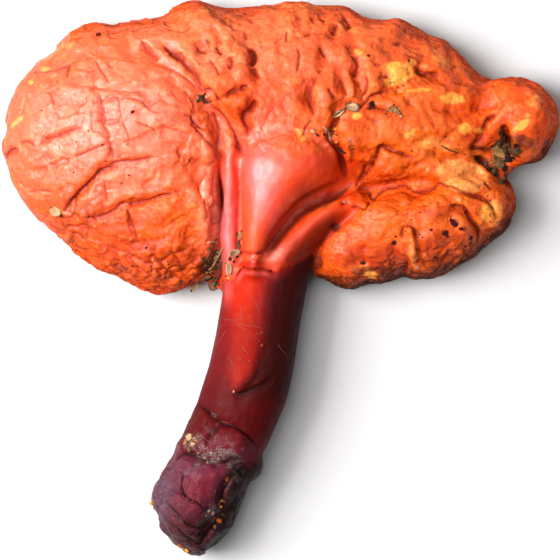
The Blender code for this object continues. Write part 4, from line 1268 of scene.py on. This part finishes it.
def ground(cell_x, cell_y):
    """The skin's place and direction under a plan cell, or nearest to it beyond the outline."""
    x, y = place((cell_x, cell_y))
    hit, normal, _, _ = skin_tree.ray_cast(Vector((x, y, 0.2)), Vector((0, 0, -1)))
    if hit is None:
        hit, normal, _, _ = skin_tree.find_nearest(Vector((x, y, 8 * MM)))
        hit = Vector((x, y, hit.z))
        normal = Vector((0, 0, 1))
    return hit, normal


def stand_on(cell_x, cell_y, turn, lift):
    """A frame on the skin: first axis turned in plan, third halfway between the skin's normal and up."""
    hit, normal = ground(cell_x, cell_y)
    up = (normal + Vector((0, 0, 1))).normalized()
    heading = Vector((math.cos(math.radians(turn)), math.sin(math.radians(turn)), 0))
    side = up.cross(heading).normalized()
    heading = side.cross(up)
    base = Matrix((heading, side, up)).transposed().to_4x4()
    base.translation = hit + up * lift
    return base


def tube_faces(rings, sides):
    """Faces of a closed tube of rings, with a point at each end."""
    faces = []
    for ring in range(rings - 1):
        for k in range(sides):
            a, b = 1 + ring * sides + k, 1 + ring * sides + (k + 1) % sides
            faces.append((a, b, b + sides, a + sides))
    last = 1 + (rings - 1) * sides
    for k in range(sides):
        faces.append((0, 1 + (k + 1) % sides, 1 + k))
        faces.append((last + sides, last + k, last + (k + 1) % sides))
    return faces


def add_husk(heap, seed, cell_x, cell_y, length, width, turn, colour, lift, hollow):
    """An open boat-shaped husk: ribbed outside, its top sunk in and darkened with painted shade."""
    rng = np.random.default_rng(seed)
    base = stand_on(cell_x, cell_y, turn, lift * MM)
    rings, sides = 11, 14
    verts = [Vector((-0.5 * length * MM, 0, 0.12 * width * MM))]
    colours = [BARK]
    phase = rng.uniform(0, 9)
    for r in range(rings):
        t = (r + 0.7) / (rings + 0.4)
        half = 0.5 * width * math.sin(math.pi * t) ** 0.6 * (1 + 0.12 * math.sin(5 * t + phase))
        rise = 0.25 * width * (2 * t - 1) ** 2
        for k in range(sides):
            angle = 2 * math.pi * k / sides
            y, z = half * math.cos(angle), 0.55 * half * math.sin(angle)
            top = max(0.0, math.sin(angle))
            z -= hollow * 0.9 * half * top**1.5
            rib = 1 + 0.05 * math.cos(angle * 5)
            verts.append(Vector(((t - 0.5) * length, y * rib, z * rib + rise)) * MM)
            shade = rng.uniform(0.75, 1.1)
            # Painted shade darkens the sunk-in top
            colours.append(colour * shade * (1 - 0.75 * top * hollow) + BARK * 0.5 * top)
    verts.append(Vector((0.5 * length * MM, 0, 0.2 * width * MM)))
    colours.append(BARK)
    heap.add([base @ v for v in verts], tube_faces(rings, sides), colours)


def add_straw(heap, seed, cells, radius, colour, lift, end_lift=0.0):
    """A thin stalk or fibre laid over the skin along plan cells."""
    rng = np.random.default_rng(seed)
    path = smooth_curve(cells, 4)
    spine = []
    for share, cell in zip(np.linspace(0, 1, len(path)), path):
        hit, _ = ground(*cell)
        spine.append(hit + Vector((0, 0, (lift + end_lift * share) * MM)))
    if lift > 0.1:
        heights = [p.z for p in spine]
        for k, p in enumerate(spine):
            p.z = 0.5 * p.z + 0.5 * max(heights[max(0, k - 2):k + 3])
    sides = 6
    verts, colours = [spine[0]], [colour]
    for k, here in enumerate(spine):
        along = (spine[min(k + 1, len(spine) - 1)] - spine[max(k - 1, 0)]).normalized()
        side = along.cross(Vector((0, 0, 1))).normalized()
        up = side.cross(along)
        thick = radius * MM * rng.uniform(0.8, 1.2) * (0.6 if k in (0, len(spine) - 1) else 1)
        for j in range(sides):
            angle = 2 * math.pi * j / sides
            verts.append(here + (side * math.cos(angle) + up * math.sin(angle) * 0.7) * thick)
            colours.append(colour * rng.uniform(0.7, 1.15))
    verts.append(spine[-1])
    colours.append(colour)
    heap.add(verts, tube_faces(len(spine), sides), colours)


ball = bmesh.new()
bmesh.ops.create_icosphere(ball, subdivisions=2, radius=1.0)
CRUMB_VERTS = [v.co.copy() for v in ball.verts]
CRUMB_FACES = [tuple(v.index for v in f.verts) for f in ball.faces]
ball.free()


def add_crumb(heap, seed, cell_x, cell_y, size, colour, stretch=(1.0, 0.75, 0.55), sunk=0.15):
    """An angular crumb, pressed a little into the skin."""
    rng = np.random.default_rng(seed)
    half = 0.5 * size * MM
    base = stand_on(cell_x, cell_y, rng.uniform(0, 360), half * (stretch[2] - 2 * sunk))
    shift = Vector(rng.uniform(0, 50, 3))
    verts, colours = [], []
    for v in CRUMB_VERTS:
        bulge = 1 + 0.75 * noise.noise(v * 1.8 + shift)
        verts.append(base @ (Vector((v.x * stretch[0], v.y * stretch[1], v.z * stretch[2])) * half * bulge))
        colours.append(colour * (0.8 + 0.5 * noise.noise(v * 2.5 + shift)))
    heap.add(verts, CRUMB_FACES, colours)


FLAKE_THICKNESS = 0.1 * MM


def add_flake(heap, seed, cells, colour, edge, curl):
    """A thin papery flake over the outline's cells, crumpled, with its edge curled up."""
    middle = np.mean(cells, axis=0)
    outline = smooth_curve(list(cells) + [cells[0]], 3)[:-1]
    rings = 5
    shift = Vector((seed * 3.1, seed * 1.7, 0))
    top, colours = [], []
    for r in range(rings + 1):
        t = r / rings
        for cell in (outline if r else outline[:1]):
            spot = middle + (cell - middle) * t
            hit, _ = ground(*spot)
            crease = noise.noise(Vector((spot[0], spot[1], 0)) * 0.22 + shift)
            lift = 0.25 + 0.35 * abs(crease) + curl * t * t * (0.6 + 0.6 * crease)
            top.append(hit + Vector((0, 0, lift * MM)))
            colours.append(colour * (0.85 + 0.5 * crease) * (1 - t**4) + edge * t**4)
    n = len(outline)
    faces = [(0, 1 + k, 1 + (k + 1) % n) for k in range(n)]
    for r in range(rings - 1):
        for k in range(n):
            a, b = 1 + r * n + k, 1 + r * n + (k + 1) % n
            faces.append((a, a + n, b + n, b))
    bottom = [v - Vector((0, 0, FLAKE_THICKNESS)) for v in top]
    count_top = len(top)
    under = [tuple(count_top + k for k in reversed(face)) for face in faces]
    last = 1 + (rings - 1) * n
    sides = []
    for k in range(n):
        a, b = last + k, last + (k + 1) % n
        sides.append((a, count_top + a, count_top + b, b))
    heap.add(top + bottom, faces + under + sides, colours + colours)


def debris_material(name, roughness, gloss):
    """Dry bits: each one's own colour, mottled and speckled."""
    material, graph, shader = new_material(name)
    vector = graph.millimetres()
    mottle = graph.noise(vector, 1.8, 4)
    fine = graph.noise(vector, 7.0, 2)
    colour = graph.attribute("tint", "Color")
    colour = graph.mix(graph.ramp(mottle, 0.4, 0.7, 0.0, 0.5), colour, (0.5, 0.42, 0.36), "MULTIPLY")
    colour = graph.mix(graph.ramp(fine, 0.5, 0.75, 0.0, 0.3), colour, (1.3, 1.25, 1.15), "MULTIPLY")
    graph.feed(shader.inputs["Base Color"], colour)
    shader.inputs["Roughness"].default_value = roughness
    shader.inputs["Specular IOR Level"].default_value = gloss
    graph.bump(shader, 0.7, 0.1 * MM, fine)
    return material


# Husks: plan cell, length and width in millimetres, turn in degrees, colour, lift, how hollow
HUSKS = [
    (56, 211.5, 3.6, 2.8, -25, BEIGE, 0.7, 0.35), (194, 286, 3.7, 2.6, 60, BEIGE, 0.4, 0.5),
    (240.5, 236, 2.6, 1.4, 75, STRAW, 0.5, 0.5), (234, 253, 3.5, 2.2, 20, BEIGE, 0.8, 0.8),
    (229.5, 269, 3.7, 2.0, 88, BEIGE, 0.5, 0.8), (212, 268, 3.0, 1.5, 55, STRAW, 0.7, 0.7),
    (207, 276, 2.6, 1.3, 20, KHAKI, 0.6, 0.6), (216, 255, 3.2, 1.3, 62, BEIGE, 0.7, 0.8),
    (498, 158, 3.2, 1.6, 70, KHAKI, 0.6, 0.5), (238, 245, 2.0, 1.1, 120, BARK, 0.5, 0.3),
]
# Stalks: half width in millimetres, colour, lift, then plan cells
STRAWS = [
    (0.28, BARK, 0.5, [(204, 263), (210, 254), (214, 244), (217, 238)]),
    (0.25, STRAW, 0.7, [(206, 274), (213, 266), (219, 256), (223, 248)]),
    (0.3, BARK, 0.5, [(201, 258), (206, 264), (214, 267)]),
    (0.25, SOOT, 0.5, [(203, 270), (211, 262), (217, 250)]),
    (0.3, BARK, 0.4, [(209, 248), (214, 253), (221, 256)]),
    (0.22, BARK, 0.9, [(211, 282), (217, 274), (221, 262)]),
    (0.22, SOOT, 0.8, [(200, 269), (209, 271), (219, 266)]),
    (0.3, SOOT, 0.3, [(205, 281), (212, 278), (219, 279)]),
    (0.25, BARK, 0.5, [(214, 288), (217, 279), (222, 270)]),
    (0.2, BEIGE, 0.6, [(207, 243), (213, 242), (219, 244)]),
    (0.3, BARK, 0.4, [(198, 96), (203, 101), (209, 104)]),
    (0.25, SOOT, 0.4, [(197, 104), (202, 99), (206, 94)]),
    (0.25, BARK, 0.4, [(236, 232), (239, 240), (237, 250)]),
    (0.22, STRAW, 0.4, [(232, 262), (236, 256), (239, 246)]),
    (0.3, BARK, 0.3, [(334, 117), (340, 113), (347, 109)]),
    (0.22, SOOT, 0.3, [(345, 106), (352, 104), (359, 107)]),
    (0.25, SOOT, 0.3, [(337, 148), (341, 152), (346, 154)]),
    (0.25, KHAKI, 0.3, [(386, 112), (393, 110), (401, 116)]),
    (0.3, SOOT, 0.4, [(500, 128), (502, 138), (499, 148)]),
    (0.28, STRAW, 0.5, [(492, 148), (498, 153), (504, 163)]),
    (0.25, SOOT, 0.4, [(506, 150), (512, 155), (520, 158)]),
    (0.25, KHAKI, 0.4, [(490, 164), (498, 160), (508, 159)]),
    (0.25, SOOT, 0.3, [(474, 157), (482, 163), (491, 170)]),
    (0.22, BARK, 0.3, [(440, 146), (449, 151), (456, 153)]),
    (0.18, BEIGE, 0.4, [(323, 128), (328, 133), (330, 141)]),
]
# Crumbs: plan cell, size in millimetres, colour
CRUMBS = [
    (201, 98, 1.5, BARK), (205, 103, 1.2, SOOT), (197, 101, 1.0, KHAKI), (207, 98, 0.9, BEIGE),
    (211, 102, 0.8, BARK),
    (313, 132, 1.5, BEIGE), (317, 136, 1.0, BARK), (326, 131, 1.6, KHAKI), (329, 138, 1.1, BEIGE),
    (324, 136, 0.9, SOOT),
    (335, 130, 1.0, HONEY), (335, 137, 1.2, HONEY), (336, 143, 0.8, HONEY), (340, 150, 1.3, BARK),
    (344, 153, 0.9, SOOT),
    (390, 111, 1.1, BEIGE), (396, 114, 1.2, KHAKI), (400, 117, 0.8, BEIGE), (385, 115, 0.8, BARK),
    (393, 106, 0.7, SOOT),
    (371, 105, 1.6, SOOT), (500, 133, 1.6, SOOT), (503, 141, 1.3, BARK), (498, 147, 1.6, KHAKI),
    (495, 155, 1.8, KHAKI),
    (500, 163, 1.5, BEIGE), (507, 152, 1.6, BARK), (513, 158, 1.6, SOOT), (505, 160, 1.2, SOOT),
    (518, 152, 1.2, BARK),
    (510, 147, 1.1, SOOT), (489, 169, 1.3, SOOT), (497, 175, 1.1, BARK), (503, 179, 1.3, KHAKI),
    (480, 162, 1.0, SOOT),
    (505, 146, 3.6, BARK), (509, 157, 3.8, SOOT), (499, 153, 4.6, STRAW), (500, 146, 2.4, BARK),
    (512, 150, 2.4, BARK),
    (493, 171, 3.0, BARK), (503, 137, 2.6, SOOT), (516, 152, 3.0, BARK), (498, 163, 3.4, KHAKI),
    (492, 172, 2.0, SOOT), (500, 182, 2.2, BARK), (486, 164, 1.8, BARK), (504, 168, 2.2, SOOT),
    (515, 146, 1.8, SOOT),
    (229, 278, 1.2, HONEY), (231, 281, 0.8, ORANGE_BIT), (226, 276, 0.8, BARK), (237, 257, 1.0, SOOT),
    (230, 259, 1.3, BARK), (226, 263, 1.0, KHAKI), (234, 262, 0.9, SOOT), (242, 231, 0.9, BARK),
    (208, 259, 1.2, KHAKI),
    (213, 273, 1.1, BARK), (203, 279, 1.0, STRAW), (218, 262, 0.9, SOOT), (61, 215, 1.2, SOOT),
    (52, 208, 0.9, BARK),
    (134, 113, 0.9, PURPLE), (99, 35, 1.1, PURPLE), (344, 202.5, 0.7, BONE), (417, 267, 0.7, BONE),
    (453, 240, 0.6, BARK),
    (169, 277, 1.0, KHAKI), (182, 281, 0.9, BARK), (150, 270, 0.9, ORANGE_BIT), (133, 266, 0.8, BARK),
    (191, 291, 0.8, BARK),
]
STEM_CRUMBS = [
    (234, 391, 0.9, BEIGE), (237, 393, 0.6, BARK), (258, 362, 0.6, BARK),
    (262, 345, 1.0, ORANGE_BIT * 0.6),
    (262, 332, 0.6, STRAW * 0.6), (250, 316, 0.5, STRAW * 0.6), (190, 437, 2.4, BEIGE),
    (186, 442, 2.0, STRAW), (193, 444, 1.6, BEIGE),
    (189, 449, 1.3, KHAKI), (197, 440, 1.2, STRAW), (152, 503, 1.7, HONEY), (154, 508, 1.1, HONEY),
    (222, 500, 1.3, STRAW),
    (221, 506, 1.0, HONEY), (227, 478, 1.6, ORANGE_BIT), (225, 483, 1.0, BARK),
    (219, 520, 1.8, ORANGE_BIT),
    (215, 526, 1.1, KHAKI), (180, 545, 1.6, ORANGE_BIT), (187, 551, 1.4, HONEY), (183, 548, 0.9, BEIGE),
    (213, 512, 1.4, GREY), (209, 510, 1.0, BONE), (206, 514, 1.1, GREY), (212, 452, 0.9, BONE),
    (205, 457, 1.0, GREY),
    (219, 458, 0.9, GREY), (226, 455, 0.8, BARK), (199, 452, 0.9, KHAKI), (208, 462, 0.8, GREY),
    (231, 462, 0.8, BARK),
]
FLAKES = [
    ([(344, 108), (348, 104), (355, 104), (359, 108), (356, 113), (349, 112)], BEIGE, BARK, 0.7),
    ([(333, 119), (335, 113), (341, 111), (345, 109), (343, 114), (338, 118)], BEIGE, BARK, 0.5),
    ([(387, 109), (392, 107), (398, 111), (400, 116), (394, 114)], STRAW, BARK, 0.4),
    ([(495, 140), (500, 143), (502, 152), (500, 162), (495, 160), (493, 150)], KHAKI, BARK, 0.6),
    ([(208, 285), (213, 281), (219, 284), (216, 290), (210, 290)], KHAKI, SOOT, 0.3),
]
# Fine pale fibres and scratches on the stem: plan cells
FIBRES = [
    [(236, 322), (245, 325), (254, 326), (262, 328)], [(236, 324), (243, 328), (252, 332)],
    [(217, 345), (222, 337), (226, 330)], [(241, 345), (246, 351), (250, 356)], [(222, 318), (232, 320),
     (243, 319)],
    [(240, 304), (241, 311), (243, 318)], [(278, 344), (282, 350), (288, 356)], [(252, 297), (257, 305),
     (259, 314)],
    [(228, 357), (233, 364), (236, 372)], [(201, 434), (208, 440), (217, 443)], [(204, 447), (214, 449),
     (224, 447)],
    [(166, 500), (176, 512), (186, 520)], [(170, 520), (182, 527), (196, 529)], [(216, 424), (224, 421),
     (233, 425)],
]
# Dark spots of the crust: plan cell, size in millimetres
SPOTS = [
    (451.5, 222, 2.2), (455, 225, 1.8), (460, 229, 1.5), (444, 233, 2.0), (446, 236, 1.4),
    (392.5, 243, 1.6),
    (362.5, 263, 1.5), (434, 257, 1.1), (430, 230, 1.0), (371, 106, 2.4), (368, 57, 1.0), (408, 62, 1.1),
    (470, 238, 1.4), (465, 246, 1.1), (99, 35, 1.6), (134, 113, 1.3), (75, 173, 0.7), (147, 248, 1.0),
    (130, 176, 0.7),
]
# Fine grit scattered in the pockets: plan cell, spread in cells, how many, colours
GRIT = [
    (498, 152, 12, 14, 26, (SOOT, BARK, KHAKI)), (210, 264, 9, 14, 22, (SOOT, BARK, STRAW)),
    (330, 134, 14, 8, 14, (BARK, HONEY, BEIGE)), (450, 150, 30, 14, 16, (SOOT, BARK)),
    (392, 112, 10, 6, 8, (SOOT, BEIGE)),
    (488, 210, 14, 24, 16, (SOOT, BARK)), (420, 225, 40, 22, 16, (SOOT, BARK)),
    (170, 268, 34, 12, 18, (BARK, SOOT, HONEY)),
    (203, 100, 6, 5, 8, (SOOT, BARK)), (80, 150, 50, 60, 16, (BARK, PURPLE)),
    (395, 85, 22, 14, 10, (SOOT, HONEY)),
]
STEM_GRIT = [
    (212, 455, 16, 10, 40, (GREY, SOOT, BARK, KHAKI)), (200, 500, 26, 30, 30, (GREY * 0.7, SOOT, BARK)),
    (250, 340, 18, 40, 16, (ROSE * 0.3, ORANGE_BIT * 0.5, STRAW * 0.6)),
    (190, 442, 8, 8, 14, (BEIGE, BARK, STRAW)), (222, 512, 6, 20, 14, (STRAW, BARK)),
]
FIBRE_RADIUS = 0.045
FIBRE_LIFT = 0.02

husk_heap, straw_heap, crumb_heap, stem_heap, flake_heap, fibre_heap = (Heap() for _ in range(6))
for seed, husk in enumerate(HUSKS):
    add_husk(husk_heap, seed, *husk)
for seed, (radius, colour, lift, cells) in enumerate(STRAWS, 100):
    add_straw(straw_heap, seed, cells, radius, colour, 0.7 * lift, 0.1)
for seed, crumb in enumerate(CRUMBS, 200):
    add_crumb(crumb_heap, seed, *crumb)
for seed, crumb in enumerate(STEM_CRUMBS, 400):
    add_crumb(stem_heap, seed, *crumb)
for seed, (cells, colour, edge, curl) in enumerate(FLAKES, 1):
    add_flake(flake_heap, seed, np.array(cells, float), colour, edge, curl)
for seed, cells in enumerate(FIBRES, 600):
    add_straw(fibre_heap, seed, cells, FIBRE_RADIUS, ROSE * 0.28, FIBRE_LIFT)
for seed, spot in enumerate(SPOTS, 800):
    add_crumb(crumb_heap, seed, *spot, PURPLE * 0.5, (1.0, 0.7, 0.16), 0.06)

scatter = np.random.default_rng(7)
for heap, smallest, largest, pockets in ((crumb_heap, 0.3, 0.7, GRIT), (stem_heap, 0.25, 0.6, STEM_GRIT)):
    for x, y, spread_x, spread_y, number, colours in pockets:
        for _ in range(number):
            across, along = scatter.normal(0, 0.5, 2)
            colour = colours[int(scatter.integers(len(colours)))]
            seed = int(scatter.integers(10000))
            size = float(scatter.uniform(smallest, largest))
            add_crumb(heap, seed, x + across * spread_x, y + along * spread_y, size, colour)

dry = debris_material("dry_husk", 0.7, 0.15)
papery = debris_material("papery", 0.8, 0.2)
grit = debris_material("grit", 0.85, 0.08)
husk_heap.finish("grain_husks", dry, "cap")
straw_heap.finish("straw_bits", dry, "cap")
crumb_heap.finish("cap_crumbs", grit, "cap", True)
stem_heap.finish("stem_crumbs", grit, "stem", True)
flake_heap.finish("papery_flakes", papery, "cap")
fibre_heap.finish("stem_fibres", papery, "stem")
